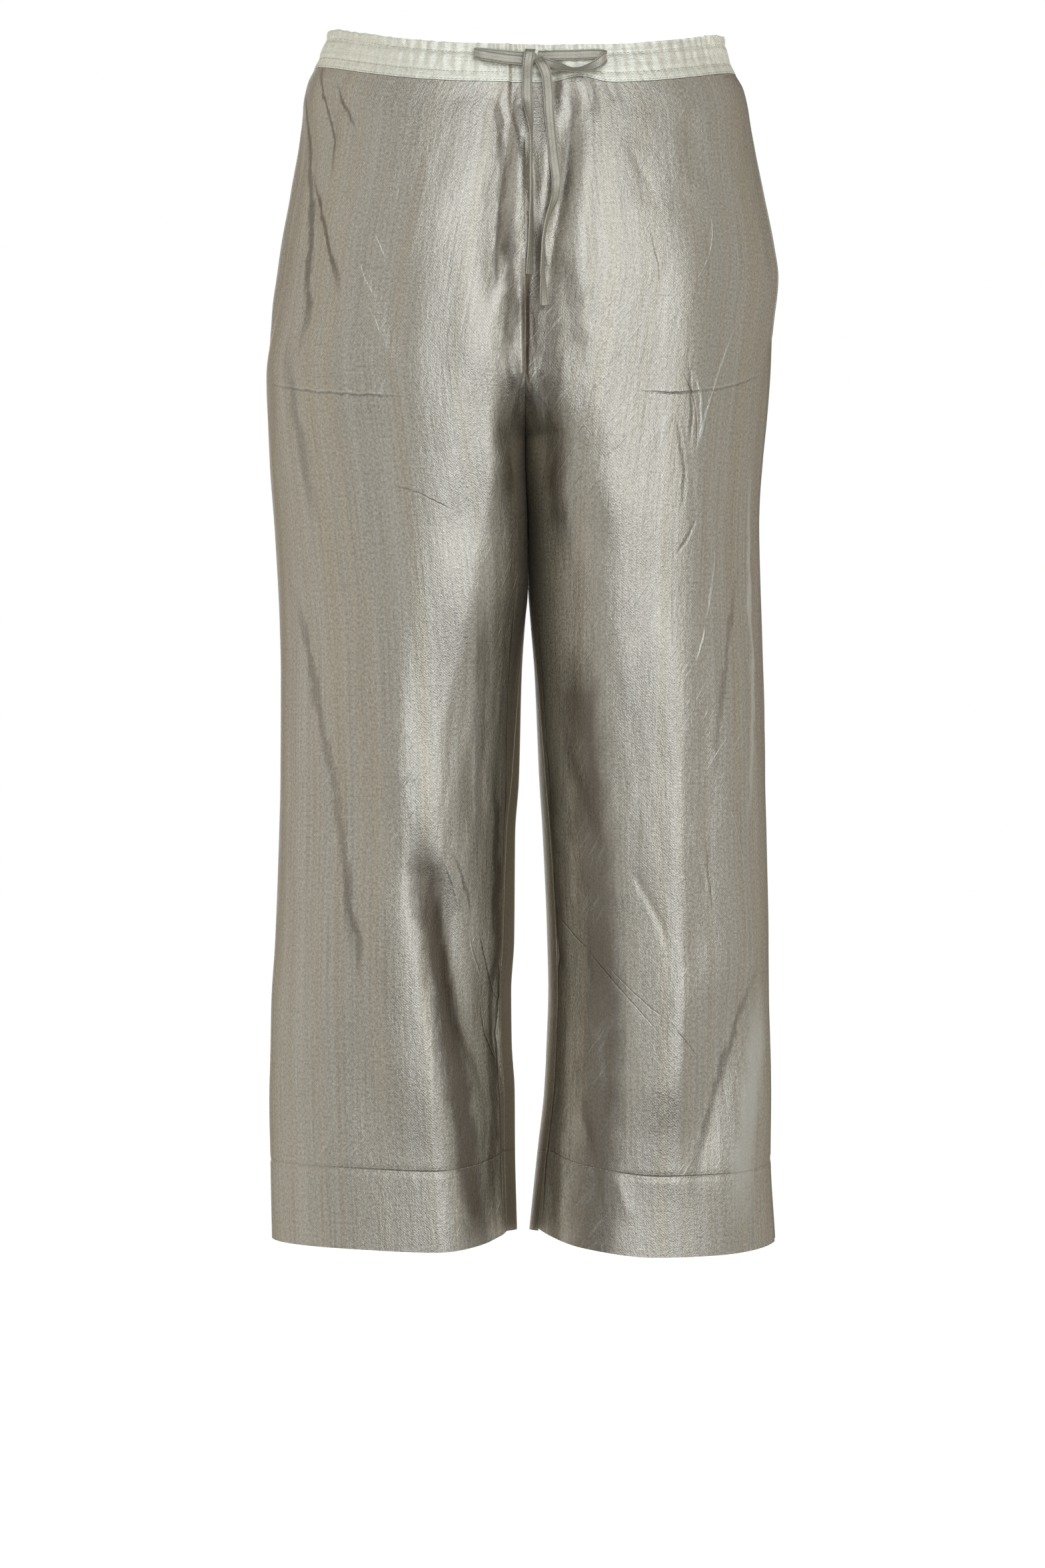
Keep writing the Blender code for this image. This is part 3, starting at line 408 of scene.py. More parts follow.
# The strip beside a pocket's mouth: its width, how pale it is, how soft its edge and its ends
# are, and the line along its edge with its distance, width, depth and mark
MOUTH_STRIP, MOUTH_PALE, MOUTH_SOFT, MOUTH_END = 8.5, 0.5, 0.4, 4
MOUTH_LINE_AT, MOUTH_LINE, MOUTH_LINE_DEPTH, MOUTH_LINE_MARK = 0.7, 0.9, 0.3, 0.5
# Dark lines along the tape: their width, the stitched rows' distance from the middle, the rows'
# depth, and how dark the rows and the fold along the middle are
TAPE_LINE, TAPE_ROW, TAPE_ROW_DEPTH, TAPE_ROW_MARK, TAPE_MIDDLE_MARK = 0.8, 2.9, 0.2, 0.9, 0.4
# The waistband's streaks, grooves darkened with painted shade of its gathers: how dark and deep
# they are, and the share left on the heading, whose foot lies between these distances below the waist
STREAK_SHADE, STREAK_DEPTH, HEADING_STREAKS, HEADING_FOOT = 0.4, 1.1, 0.25, (-6.5, -4.5)
# The colours of the painted highlights on lit ridges and of the painted shade at the feet of folds
BRIGHT = (0.64, 0.63, 0.54)
SHADE = (0.085, 0.066, 0.045)
# Short light strokes of painted sheen, with a little relief, in the worn patches
STROKE_SLANT, STROKE_SHARE, STROKE_RELIEF = 0.6, 0.45, 0.35

# Noises over the cloth: how many to a metre across and down it, their detail and roughness
Noise = namedtuple("Noise", "across down detail roughness", defaults=(2.0, 0.5))
NOISES = {
    "broad": Noise(85, 1.1), "hues": Noise(60, 0.8), "yarns": Noise(600, 9), "slubs": Noise(24, 900),
    "grain": Noise(560, 420, 3.0, 0.7), "brushed": Noise(260, 60, 3.0, 0.6),
    "sparks": Noise(1100, 600, 2.0, 0.7), "crumple": Noise(85, 30, 4.0, 0.6), "worn": Noise(11, 6),
    "frayed": Noise(95, 30, 5.0, 0.6),
}
BAND_STREAKS, STROKES = Noise(150, 12, 3.0), Noise(340, 26)
# From a noise's low to its high value, the cloth mixes to one of its colours by up to a share
Tint = namedtuple("Tint", "noise low high share colour")
TINTS = rows(Tint, [
    ("broad", 0.3, 0.7, 0.6, "pale"), ("hues", 0.48, 0.72, 0.7, "warm"),
    ("yarns", 0.5, 0.75, 0.35, "deep"), ("slubs", 0.62, 0.8, 0.5, "deep"),
])
LINES_SHARE = 0.35
# How far the grain lightens and darkens the cloth, and the smoother band and tape
SPARKLE, CALM_SPARKLE = 0.26, 0.12
# Faint stripes along the warp: their spacing in metres, how far they wander, and their shades
WARP_STRIPE, STRIPE_WANDER, STRIPE_SHADES = 0.0058, 14, (0.96, 1.03)
# Heights of the finish's relief in millimetres, and of the crumple where the cloth is worn
RELIEF = {"lines": 0.012, "grain": 0.12, "sparks": 0.3, "yarns": 0.04, "brushed": 0.45}
CRUMPLE_RELIEF, LEAST_WORN = 1.2, 0.1
# How far the roughness varies, and how much less a line's painted shade or highlight marks the cloth where it
# is worn
ROUGH_SPREAD, WORN_MARK = 0.07, 0.75
# Twists of thread to a metre, and how dark the thread is between them
THREAD_TWISTS, THREAD_DARK = 2600, 0.6

# How much of each leg's width its rounded inner front corner takes, beyond the part's own
Ridge = namedtuple("Ridge", "height left right")
RIDGES = rows(Ridge, [
    (17, 0, 0), (-250, 0, 0), (-325, -0.05, 0.08), (-400, -0.1, 0.1), (-500, -0.14, 0.08),
    (-600, -0.14, 0.06), (-700, -0.1, 0.06), (-800, -0.16, 0.04), (-950, -0.18, 0.0),
])
INNER_FULLNESS = {LEFT: 1.85, RIGHT: 2.2}

# The waistband: how far each level stands out, and its share of the gathers
BandRow = namedtuple("BandRow", "height out gather pucker")
BAND_ROWS = rows(BandRow, [
    (-13, 0.25, 0.2, 0.4), (-11.8, 0.2, 0.2, 0.7), (-8.8, 0.5, 0.25, 0.4), (-5.5, 0.25, 0.35, 1.0),
    (-2.0, 0.8, 0.75, 0.7), (2.5, 1.0, 1.0, 0.5), (7.0, 0.8, 0.9, 0.7), (10.0, 0.2, 0.7, 1.1),
    (13.2, 0.6, 1.1, 1.2), (17.0, 0.7, 1.5, 1.6),
])
BAND_STITCH_ROWS = (-11.6, -5.5, 10.0)
# Distances of the stitches from a pocket's mouth
MOUTH_STITCH_ROWS = {LEFT: (7.0, 9.0), RIGHT: (6.0,)}
# Shares of the thread's width and of a stitch that the finer, the tape's and the hems' stitches
# take, and how far from their ends the rows of the band, the hems and the mouths are sewn
FINE_STITCH, TAPE_STITCH, HEM_THREAD, HEM_STITCH = 0.8, 0.72, 1.3, 0.3
BAND_SEWN, HEM_SEWN, MOUTH_SEWN = 0.995, (0.01, 0.99), 2
BAND_LAYERS = 3
# A stitch needs at least this much of a way out of the cloth, which closed seams don't give, and
# at least this share of its pitch to lie in
LEAST_OUT, LEAST_STITCH = 0.1, 0.2
# The gathers' spacing wanders by shares of a gather over these lengths. The front's gathers grow
# from this strength between these places from the centre to the side.
GATHER_WANDER = ((0.3, 31, 0), (0.2, 13.7, 1))
FRONT_GATHER, GATHER_END = 0.4, 0.75
# Puckers lean with the height, and are at least this strong where there are no gathers
PUCKER_LEAN, LEAST_PUCKER = 0.35, 0.3
# The heading's frill starts at this height and rises and falls by this much
FRILL_FOOT, FRILL = 10, 0.5

# The tape's crown, how far it is set in, its lumps and its rounded edges, in metres, and how far
# its rows of stitches lie from its edges and stand off it
TAPE_CROWN, TAPE_SET, TAPE_LUMPS, TAPE_EDGE = 0.00018, 0.0001, 0.00012, 0.00025
ROW_INSET, ROW_STANDS = 0.0011, 0.00006
KNOT_AT = (0.0046, -0.1208, -0.0190)
KNOT_SIZE = (0.0050, 0.0042, 0.0056)
# The tape's turns round the knot: how close, their slant by x and z, and their depth
KNOT_WRAPS = ((7.5, 0.35, 1, 0.06), (13, 1, -0.4, 0.03))
KNOT_PINCH, KNOT_WAIST = 0.14, 0.35
# The drawstring's stretches in metres, as the part has them: x, y, z and the tape's turn in
# degrees, from the knot outwards
ROUTES = {
    "drawstring_tail_left": [
        (0.0042, -0.1216, -0.0121, 0), (0.0036, -0.1252, -0.0138, 0), (0.0026, -0.1263, -0.0185, 0),
        (0.0019, -0.1257, -0.024, 0), (0.0015, -0.1228, -0.034, 0), (0.0016, -0.1220, -0.050, 0),
        (0.0032, -0.1264, -0.064, 45), (0.0044, -0.1304, -0.078, 76), (0.0047, -0.1326, -0.092, 80),
        (0.0045, -0.1348, -0.106, 80), (0.0048, -0.1360, -0.122, 78), (0.0047, -0.1364, -0.142, 70),
        (0.0044, -0.1360, -0.162, 62), (0.0038, -0.1352, -0.178, 52), (0.0033, -0.1348, -0.189, 44),
    ],
    "drawstring_tail_right": [
        (0.0100, -0.1244, -0.0196, 0), (0.0128, -0.1268, -0.0236, 0), (0.0158, -0.1276, -0.030, 0),
        (0.0176, -0.1254, -0.042, 0), (0.0187, -0.1250, -0.061, 0), (0.0204, -0.1279, -0.080, 0),
        (0.0222, -0.1310, -0.098, 0), (0.0243, -0.1332, -0.115, 8), (0.0234, -0.1350, -0.128, 40),
        (0.0176, -0.1362, -0.144, 72), (0.0146, -0.1362, -0.158, 78), (0.0134, -0.1359, -0.176, 74),
        (0.0136, -0.1352, -0.194, 62), (0.0152, -0.1336, -0.213, 22),
    ],
    "drawstring_loop_left": [
        (-0.0009, -0.1204, -0.0176, 0), (-0.010, -0.1208, -0.0168, 0), (-0.022, -0.1214, -0.0158, 0),
        (-0.033, -0.1212, -0.0150, 0), (-0.0380, -0.1217, -0.0148, 0), (-0.0392, -0.1230, -0.0151, 0),
        (-0.0374, -0.1242, -0.0157, 0), (-0.028, -0.1247, -0.0176, 0), (-0.014, -0.1243, -0.0196, 0),
        (-0.006, -0.1231, -0.0202, 0), (-0.0009, -0.1220, -0.0204, 0),
    ],
    "drawstring_loop_right": [
        (0.0101, -0.1191, -0.0166, 0), (0.022, -0.1206, -0.0166, 0), (0.040, -0.1212, -0.0163, 0),
        (0.054, -0.1210, -0.0157, 0), (0.060, -0.1217, -0.0162, 0), (0.0624, -0.1234, -0.0174, 0),
        (0.0608, -0.1254, -0.0202, 0), (0.054, -0.1267, -0.0252, 20), (0.045, -0.1272, -0.0282, 50),
        (0.036, -0.1264, -0.0284, 60), (0.024, -0.1234, -0.0252, 28), (0.016, -0.1218, -0.0228, 8),
        (0.0102, -0.1209, -0.0208, 0),
    ],
}

# The lights in metres, with their shares of the key light's power, and the place they point at
Light = namedtuple("Light", "name x y z width height share")
LIGHTS = rows(Light, [("key", 0.5, -3.7, 0.2, 2.3, 4.2, 1.0), ("back", -0.4, 3.7, -0.2, 1.9, 3.0, 0.55)])
LIGHT_COLOUR = (0.80, 0.87, 1.0)
LIT_AT = (0, 0, -0.45)
# The room's own light: all round, and from the pale sides, which start and are full at these
# shares of the way round to them
FRONT_GLOW = 0.09
SIDE_GLOW = {LEFT: 0.78, RIGHT: 0.62}
SIDE_FROM, SIDE_FULL = 0.34, 0.62
ROOM_COLOUR = (0.95, 0.96, 1.0, 1)
CAMERA_AT = (-0.00215, -0.585)
FLOOR_RADIUS = 9.0


def length_of(name, description, default, low, high):
    return FloatProperty(name=name, description=description, default=default, min=low, max=high,
                         subtype="DISTANCE", unit="LENGTH")


def count_of(name, description, default, low, high):
    return IntProperty(name=name, description=description, default=default, min=low, max=high)


def colour_of(name, description, *default):
    return FloatVectorProperty(name=name, description=description, default=default, size=3,
                               min=0, max=1, subtype="COLOR")


class ClothSizes(bpy.types.PropertyGroup):
    """The satin twill, its wall and its seams."""
    wall: length_of("Wall", "Thickness of one layer of cloth", 0.0005, 0.0002, 0.002)
    across: count_of("Columns", "Faces across each front panel", 150, 20, 200)
    down: count_of("Rows", "Faces down each front panel", 325, 60, 500)
    coarser: FloatProperty(name="Back panels", description="Share of those faces that a back panel has",
                           default=0.72, min=0.2, max=1, subtype="FACTOR")
    colour: colour_of("Cloth colour", "Main colour of the satin", 0.45, 0.41, 0.33)
    pale: colour_of("Pale streaks", "Colour of the paler warp streaks", 0.52, 0.485, 0.40)
    warm: colour_of("Warm streaks", "Colour of the warmer warp streaks", 0.46, 0.395, 0.285)
    deep: colour_of("Deep streaks", "Colour of the darker warp and of slubs", 0.26, 0.225, 0.165)
    twill: length_of("Twill spacing", "Distance between the twill's diagonal lines", 0.0015, 0.0004, 0.004)


class BandSizes(bpy.types.PropertyGroup):
    """The gathered waistband."""
    across: count_of("Columns", "Faces along half of the waistband", 620, 80, 900)
    down: count_of("Rows", "Faces down the waistband", 40, 10, 80)
    gather: length_of("Gathers", "Height of the waistband's gathers", 0.001, 0, 0.003)
    pucker: length_of("Puckers", "Height of the fine puckers at its stitching", 0.00035, 0, 0.002)
    # Paler than the legs' cloth, standing in for the cross-cut satin's lighter sheen: a painted sheen
    colour: colour_of("Band colour", "Colour of the cross-cut satin", 0.86, 0.83, 0.68)


class TapeSizes(bpy.types.PropertyGroup):
    """The flat drawstring."""
    width: length_of("Tape width", "Width of the drawstring", 0.008, 0.003, 0.02)
    wall: length_of("Tape thickness", "Thickness of the folded tape", 0.0010, 0.0004, 0.003)
    colour: colour_of("Tape colour", "Colour of the drawstring", 0.485, 0.445, 0.345)


class ThreadSizes(bpy.types.PropertyGroup):
    """The sewing thread."""
    width: length_of("Thread width", "Width of a stitch", 0.00036, 0.0001, 0.001)
    stitch: length_of("Stitch length", "Distance from one stitch to the next", 0.0030, 0.001, 0.01)
    colour: colour_of("Thread colour", "Colour of the thread", 0.30, 0.30, 0.25)
    pale: colour_of("Hem thread", "Colour of the thread at the hems and pockets", 0.62, 0.64, 0.56)


class StageSizes(bpy.types.PropertyGroup):
    """The floor, the lights and the camera."""
    floor: length_of("Floor", "Height of the floor below the waist", -1.03, -1.5, -0.98)
    distance: length_of("Camera distance", "Distance of the camera from the waist", 3.7, 1, 10)
    lens: FloatProperty(name="Focal length", description="Focal length of the camera in millimetres",
                        default=105.34, min=20, max=300)
    key: FloatProperty(name="Key light", description="Power of the large front light in watts",
                       default=99, min=0, max=1000)


def eased(value, start, end):
    """0 at start and 1 at end, with level ends."""
    share = np.clip((value - start) / (end - start), 0, 1)
    return share * share * (3 - 2 * share)


def cubic(values, tangent, row, step, share):
    """A place on the cubic between two of a table's values, from the slopes at both."""
    rest = 1 - share
    start = values[row] * (1 + 2 * share) * rest ** 2 + tangent[row] * step * share * rest ** 2
    end = values[row + 1] * share ** 2 * (3 - 2 * share)
    return start + end - tangent[row + 1] * step * share ** 2 * rest


def smooth_curve(places, values):
    """A cubic through a table's rows that doesn't overshoot them."""
    order = np.argsort(places)
    places = np.array(places, float)[order]
    values = np.array(values, float)[order]
    step = np.diff(places)
    slope = np.diff(values) / step
    tangent = np.zeros(len(places))
    both = slope[:-1] * slope[1:] > 0
    pair_sum = np.where(both, slope[:-1] + slope[1:], 1)
    tangent[1:-1] = np.where(both, 2 * slope[:-1] * slope[1:] / pair_sum, 0)
    tangent[0], tangent[-1] = slope[0], slope[-1]

    def value_at(place):
        place = np.clip(place, places[0], places[-1])
        row = np.clip(np.searchsorted(places, place) - 1, 0, len(step) - 1)
        return cubic(values, tangent, row, step[row], (place - places[row]) / step[row])

    return value_at


def columns(table):
    """A table's columns as smooth functions of its first column."""
    return {name: smooth_curve([row[0] for row in table], [getattr(row, name) for row in table])
            for name in table[0]._fields[1:]}


def side_name(stem, leg):
    """The column of a table that is for this leg."""
    return stem + "_" + SIDE[leg]


def along(points):
    """Distance from the first point to each, along the line."""
    return np.concatenate([[0], np.cumsum(np.linalg.norm(np.diff(points, axis=0), axis=1))])


def quarter(width, depth, fullness, count=90):
    """A quarter of a rounded oval, from (width, 0) to (0, depth)."""
    angle = np.linspace(0, pi / 2, count)
    x = width * np.clip(np.cos(angle), 0, 1) ** (2 / fullness)
    y = depth * np.clip(np.sin(angle), 0, 1) ** (2 / fullness)
    return np.stack([x, y], axis=1)


def curve_cut(height, face, depth):
    """How far the crotch curve lies from the side plane at a height, above the crotch."""
    top = FRONT_CURVE_TOP if face == FRONT else BACK_CURVE_TOP
    share = np.clip((top - height) / (top - CROTCH), 0, 1)
    return depth * (1 - share ** CURVE_POWER) ** (1 / CURVE_ROOT)


def half_ring(leg, face, height):
    """The outer surface in plan, from the outer side round to the inner line and along it."""
    outer = OUTLINE_AT[side_name("outer", leg)](height)
    inner = OUTLINE_AT[side_name("inner", leg)](height) * leg
    depth = DEPTH_AT[FACE[face]](height)
    share = DEPTH_AT[FACE[face] + "_corner"](height)
    inner_fullness = CORNER_FULLNESS
    if face == FRONT:
        share = share + RIDGE_AT[SIDE[leg]](height)
        inner_fullness += (INNER_FULLNESS[leg] - CORNER_FULLNESS) * eased(-height, *CORNER_TURN)
    corner = share * (outer - inner)
    corner_depth = DEPTH_AT["corner_depth"](height) * depth
    fullness = TORSO_FULLNESS + (LEG_FULLNESS - TORSO_FULLNESS) * eased(-height, *LEG_TURN)
    if height > CROTCH:
        corner_depth = min(corner_depth, depth - curve_cut(height, face, depth))
    wide = quarter(outer - inner - corner, depth, fullness) + [inner + corner, 0]
    bend = quarter(corner, corner_depth, inner_fullness)[::-1] * [-1, 1]
    bend += [inner + corner, depth - corner_depth]
    level = np.linspace(depth - corner_depth, 0, 12)
    flat = np.stack([np.full(12, inner), level], axis=1)
    ring = np.concatenate([wide, bend, flat])
    near = np.clip(1 - (ring[:, 0] - inner) / corner, 0, 1) ** 2
    ring[:, 0] += leg * SEAM_AT["lean"](height) * ring[:, 1] * face * near
    return ring * [leg, face], along(wide)[-1]


def panel_line(leg, face, height, count):
    """One panel's outer surface in plan at a height, from side seam to inner seam."""
    front, front_corner = half_ring(leg, FRONT, height)
    back, back_corner = half_ring(leg, BACK, height)
    loop = np.concatenate([front, back[-2::-1]])
    distance = along(loop)
    total = distance[-1]
    middle = along(front)[-1]
    start = SEAM_AT[side_name("side", leg)](height) + SEAM_GAP / 2 * -face
    end = middle + SEAM_GAP / 2 * face - SEAM_AT[side_name("in", leg)](height)
    if height > CROTCH:
        half = front if face == FRONT else back
        end = middle + face * curve_cut(height, face, abs(half[:, 1]).max())
    corner = front_corner
    if face == FRONT:
        below = eased(-height, -MOUTH_TOP - MOUTH_FADE, -MOUTH_TOP)
        start += MOUTH_GAP * below * eased(height, MOUTH_FOOT, MOUTH_FOOT + MOUTH_FADE)
    else:
        start += total
        corner = total - back_corner
    split = DEPTH_AT["split"](height)
    steps = np.interp(np.linspace(0, 1, count), [0, split, 1], [start, corner, end])
    steps = np.where(steps > total, steps - total, steps)
    return np.stack([np.interp(steps, distance, loop[:, axis]) for axis in (0, 1)], axis=1)


OUTLINE_AT, DEPTH_AT, SEAM_AT, RIDGE_AT, DROP_AT, BAND_AT, ROW_AT = (
    columns(table) for table in (OUTLINE, DEPTHS, SEAMS, RIDGES, HEM_DROPS, BAND_ROWS, PANEL_ROWS))
LINE_HEIGHTS = np.arange(HEM, BAND_TOP + 1, 1.0)
LINE_STEPS = 361
# The share of a panel to either side over which its direction is read
BESIDE = 0.006
LINES = {
    (leg, face): np.array([panel_line(leg, face, height, LINE_STEPS) for height in LINE_HEIGHTS])
    for leg, face in PANELS
}
WIDTHS = {panel: np.array([along(line)[-1] for line in lines]) for panel, lines in LINES.items()}
HALF_BAND = {
    face: float(np.interp(BAND_FOOT, LINE_HEIGHTS, WIDTHS[LEFT, face])) for face in (FRONT, BACK)
}


def plan_points(leg, face, share, height):
    """The panel's places in plan, read between its stored lines."""
    lines = LINES[leg, face]
    row = np.clip((height - LINE_HEIGHTS[0]) / (LINE_HEIGHTS[1] - LINE_HEIGHTS[0]), 0, len(lines) - 1.001)
    step = np.minimum(np.clip(share, 0, 1) * (LINE_STEPS - 1), LINE_STEPS - 1.001)
    r, s = row.astype(int), step.astype(int)
    up, on = (row - r)[..., None], (step - s)[..., None]
    low = lines[r, s] * (1 - on) + lines[r, s + 1] * on
    high = lines[r + 1, s] * (1 - on) + lines[r + 1, s + 1] * on
    return low * (1 - up) + high * up


def panel_width(leg, face, height):
    """Length of the panel's line at a height."""
    return np.interp(height, LINE_HEIGHTS, WIDTHS[leg, face])


def outward(leg, face, share, height):
    """The directions in plan that point out of the garment."""
    run = plan_points(leg, face, share + BESIDE, height) - plan_points(leg, face, share - BESIDE, height)
    run /= np.linalg.norm(run, axis=-1)[..., None]
    return np.stack([run[..., 1], -run[..., 0]], axis=-1) * leg * face


def fold_depth(face, x, z):
    """How far the largest folds draw the cloth in."""
    total = np.zeros(np.shape(x))
    for fold in FOLDS[face] + (BROAD if face == FRONT else []):
        share = (z - fold.upper_z) / (fold.lower_z - fold.upper_z)
        middle = fold.upper_x + (fold.lower_x - fold.upper_x) * share + fold.bow * 4 * share * (1 - share)
        ends = eased(share, 0, FOLD_END) * eased(1 - share, 0, FOLD_END)
        total += fold.depth * ends * np.exp(-((x - middle) / fold.width) ** 2)
    return total


def natural_curve(places, values, wanted):
    """A Catmull-Rom curve through values at uneven places."""
    row = np.clip(np.searchsorted(places, wanted) - 1, 0, len(places) - 2)
    step = places[row + 1] - places[row]
    return cubic(values, np.gradient(values, places), row, step, (wanted - places[row]) / step)


def bent(path):
    """A smooth run of points through a path, with its directions and the distance along it."""
    table = np.array(path, float)
    distance = along(table)
    steps = np.linspace(0, distance[-1], max(4, round(distance[-1] / CREASE_STEP)) + 1)
    points = np.stack([natural_curve(distance, table[:, axis], steps) for axis in (0, 1)], axis=1)
    tangent = np.gradient(points, axis=0)
    tangent /= np.linalg.norm(tangent, axis=1)[:, None]
    return points, tangent, steps


def crease_depth(face, x, z):
    """How far the creases draw the cloth in, at places seen from the front or back."""
    total = np.zeros(np.shape(x))
    for crease in CREASES[face]:
        points, tangent, steps = bent(crease.path)
        reach = 3 * max(crease.left, crease.right)
        low, high = points.min(axis=0) - reach, points.max(axis=0) + reach
        near = (x > low[0]) & (x < high[0]) & (z > low[1]) & (z < high[1])
        if not near.any():
            continue
        place = np.stack([x[near], z[near]], axis=-1)
        nearest = np.argmin(((place[:, None] - points[None]) ** 2).sum(axis=-1), axis=1)
        offset = place - points[nearest]
        on = steps[nearest] + (offset * tangent[nearest]).sum(axis=1)
        aside = offset[:, 0] * -tangent[nearest, 1] + offset[:, 1] * tangent[nearest, 0]
        width = np.where(aside > 0, crease.right, crease.left)
        length = steps[-1]
        ends = eased(on, 0, FOLD_END * length) * eased(length - on, 0, FOLD_END * length)
        total[near] += crease.depth * ends * np.exp(-np.abs(aside / width) ** crease.power)
    return total


def waves(u, v, kind, seed):
    """Soft uneven rise and fall, about -1 to 1, from waves that don't repeat together."""
    choice = np.random.default_rng(seed)
    total = 0.0
    for _ in range(kind.count):
        angle = choice.uniform(0, pi)
        length = choice.uniform(kind.shortest, kind.longest)
        phase = choice.uniform(0, 2 * pi)
        along_wave = u * np.cos(angle) + v * np.sin(angle) / kind.stretch
        total = total + np.sin(2 * pi * along_wave / length + phase)
    return total / np.sqrt(kind.count)


def waist_shift(face, x, y, height):
    """How far the waist's dip, rise, lean and pucker move a point up."""
    depth = DEPTH_AT[FACE[face]](height)
    centre = np.minimum(np.abs(y) / depth, 1) ** 2
    shift = -FRONT_DIP * centre if face == FRONT else BACK_RISE * centre
    shift = (shift - WAIST_LEAN * x) * eased(height, *WAIST_FADE)
    if face == FRONT:
        across, up = (x - PUCKER_AT) / PUCKER_WIDTH, (height - BAND_FOOT) / PUCKER_HEIGHT
        shift = shift + PUCKER_LIFT * np.exp(-across ** 2 - up ** 2) * (y < 0)
    return shift


def recess(x, height):
    """The band and the cloth below it are drawn in behind the knot."""
    across = eased(x, *RECESS_LEFT) * (1 - eased(x, *RECESS_RIGHT))
    return RECESS_DEPTH * across * eased(height, RECESS_FOOT, BAND_FOOT)


def seam_ease(face, share, height):
    """Folds run out at the side seams, at the inseams and at the crotch curve."""
    top = FRONT_CURVE_TOP if face == FRONT else BACK_CURVE_TOP
    below = 1 - eased(height, top, top + EASE_HEIGHT)
    return eased(share, 0, SIDE_EASE) * (1 - below * (1 - eased(1 - share, 0, INNER_EASE)))


def mouth_flare(leg, share, height):
    """How far the pocket's mouth stands away from the side."""
    reach = share * panel_width(leg, FRONT, height)
    return SEAM_AT[side_name("flare", leg)](height) * (1 - eased(reach, 0, FLARE_REACH))


def cloth_points(leg, face, share, height, out=0.0):
    """Points on the outer surface of the cloth, in millimetres."""
    share, height = np.broadcast_arrays(np.asarray(share, float), np.asarray(height, float))
    plan = plan_points(leg, face, share, height)
    x, y = plan[..., 0], plan[..., 1]
    direction = outward(leg, face, share, height)
    z = height + waist_shift(face, x, y, height)
    drop_name = "back" if face == BACK else side_name("front", leg)
    z = z - DROP_AT[drop_name](share) * eased(-height, -HEM_DROP_FADE[1], -HEM_DROP_FADE[0])
    stand = out - fold_depth(face, x, height) * seam_ease(face, share, height)
    if face == FRONT:
        stand = stand + mouth_flare(leg, share, height) - recess(x, height)
    width = panel_width(leg, face, height)
    edges = eased(share * width, 0, CREASE_SIDE_END) * eased((1 - share) * width, 0, CREASE_INNER_END)
    stand = stand - crease_depth(face, x, z) * edges
    facing = np.where(share > 0.5, eased(direction[..., 1] * face, *TURNED_IN), 1)
    stand = stand * facing
    return np.stack([x + direction[..., 0] * stand, y + direction[..., 1] * stand, z], axis=-1)


def panel_detail(leg, face, share, height):
    """Fine relief of a leg panel: rolled seams, the hem's line and soft unevenness."""
    width = panel_width(leg, face, height)
    from_side = share * width
    from_inner = (1 - share) * width
    out = -SEAM_ROLL * np.exp(-(from_inner / SEAM_ROLL_WIDTH) ** 2)
    closed = 1.0
    if face == BACK:
        out = out * eased(height, *BACK_ROLL_END)
    else:
        mouth = eased(height, MOUTH_FOOT - MOUTH_ROLL_FADE, MOUTH_FOOT + MOUTH_ROLL_FADE)
        closed = 1 - mouth * (1 - eased(height, MOUTH_TOP - MOUTH_ROLL_FADE, MOUTH_TOP + MOUTH_ROLL_FADE))
    out -= SEAM_ROLL * closed * np.exp(-(from_side / SEAM_ROLL_WIDTH) ** 2)
    out -= HEM_DIMPLE * np.exp(-((height - HEM - HEM_DEPTH) / HEM_DIMPLE_WIDTH) ** 2)
    fade = eased(from_side, 0, WAVE_FADE) * eased(from_inner, 0, WAVE_FADE)
    fade = fade * eased(-height, -BAND_FOOT, -BAND_FOOT + WAVE_FADE)
    seed = 40 + leg + 3 * face
    out += UNEVEN * waves(from_side, height, WIDE_WAVES, seed) * fade
    restless = eased(waves(from_side, height, RESTLESS_WAVES, seed + 9), *RESTLESS)
    out += RUMPLED * waves(from_side, height, SMALL_WAVES, seed + 20) * restless * fade
    return out


def add_mesh(form, name):
    """A smooth mesh object from a form."""
    mesh = bpy.data.meshes.new(name)
    form.to_mesh(mesh)
    form.free()
    mesh.shade_smooth()
    thing = bpy.data.objects.new(name, mesh)
    bpy.context.scene.collection.objects.link(thing)
    return thing


def finish_grid(name, points, uvs, wall=0, flipped=False):
    """A thin sheet of cloth through rows of points, its outer side along the points."""
    down, across = points.shape[:2]
    form = bmesh.new()
    bmesh.ops.create_grid(form, x_segments=across - 1, y_segments=down - 1, size=1.0)
    for edge in form.edges:
        edge.smooth = not edge.is_boundary
    thing = add_mesh(form, name)
    mesh = thing.data
    mesh.vertices.foreach_set("co", (points * MM).astype(np.float32).ravel())
    corners = np.empty(len(mesh.loops), dtype=np.int32)
    mesh.loops.foreach_get("vertex_index", corners)
    layer = mesh.uv_layers.new(name="cloth")
    layer.data.foreach_set("uv", uvs.reshape(-1, 2)[corners].astype(np.float32).ravel())
    mesh.update()
    if flipped:
        mesh.flip_normals()
    if wall:
        thickness = thing.modifiers.new("Layer", "SOLIDIFY")
        thickness.thickness = wall
        thickness.offset = -1.0
        thickness.use_even_offset = False
    return thing


def node(tree, kind, inputs=None, **settings):
    """Add a shader node, set its values and link its inputs."""
    made = tree.nodes.new(kind)
    for name, value in settings.items():
        setattr(made, name, value)
    for socket, value in (inputs or {}).items():
        if isinstance(value, bpy.types.NodeSocket):
            tree.links.new(value, made.inputs[socket])
        else:
            made.inputs[socket].default_value = value
    return made


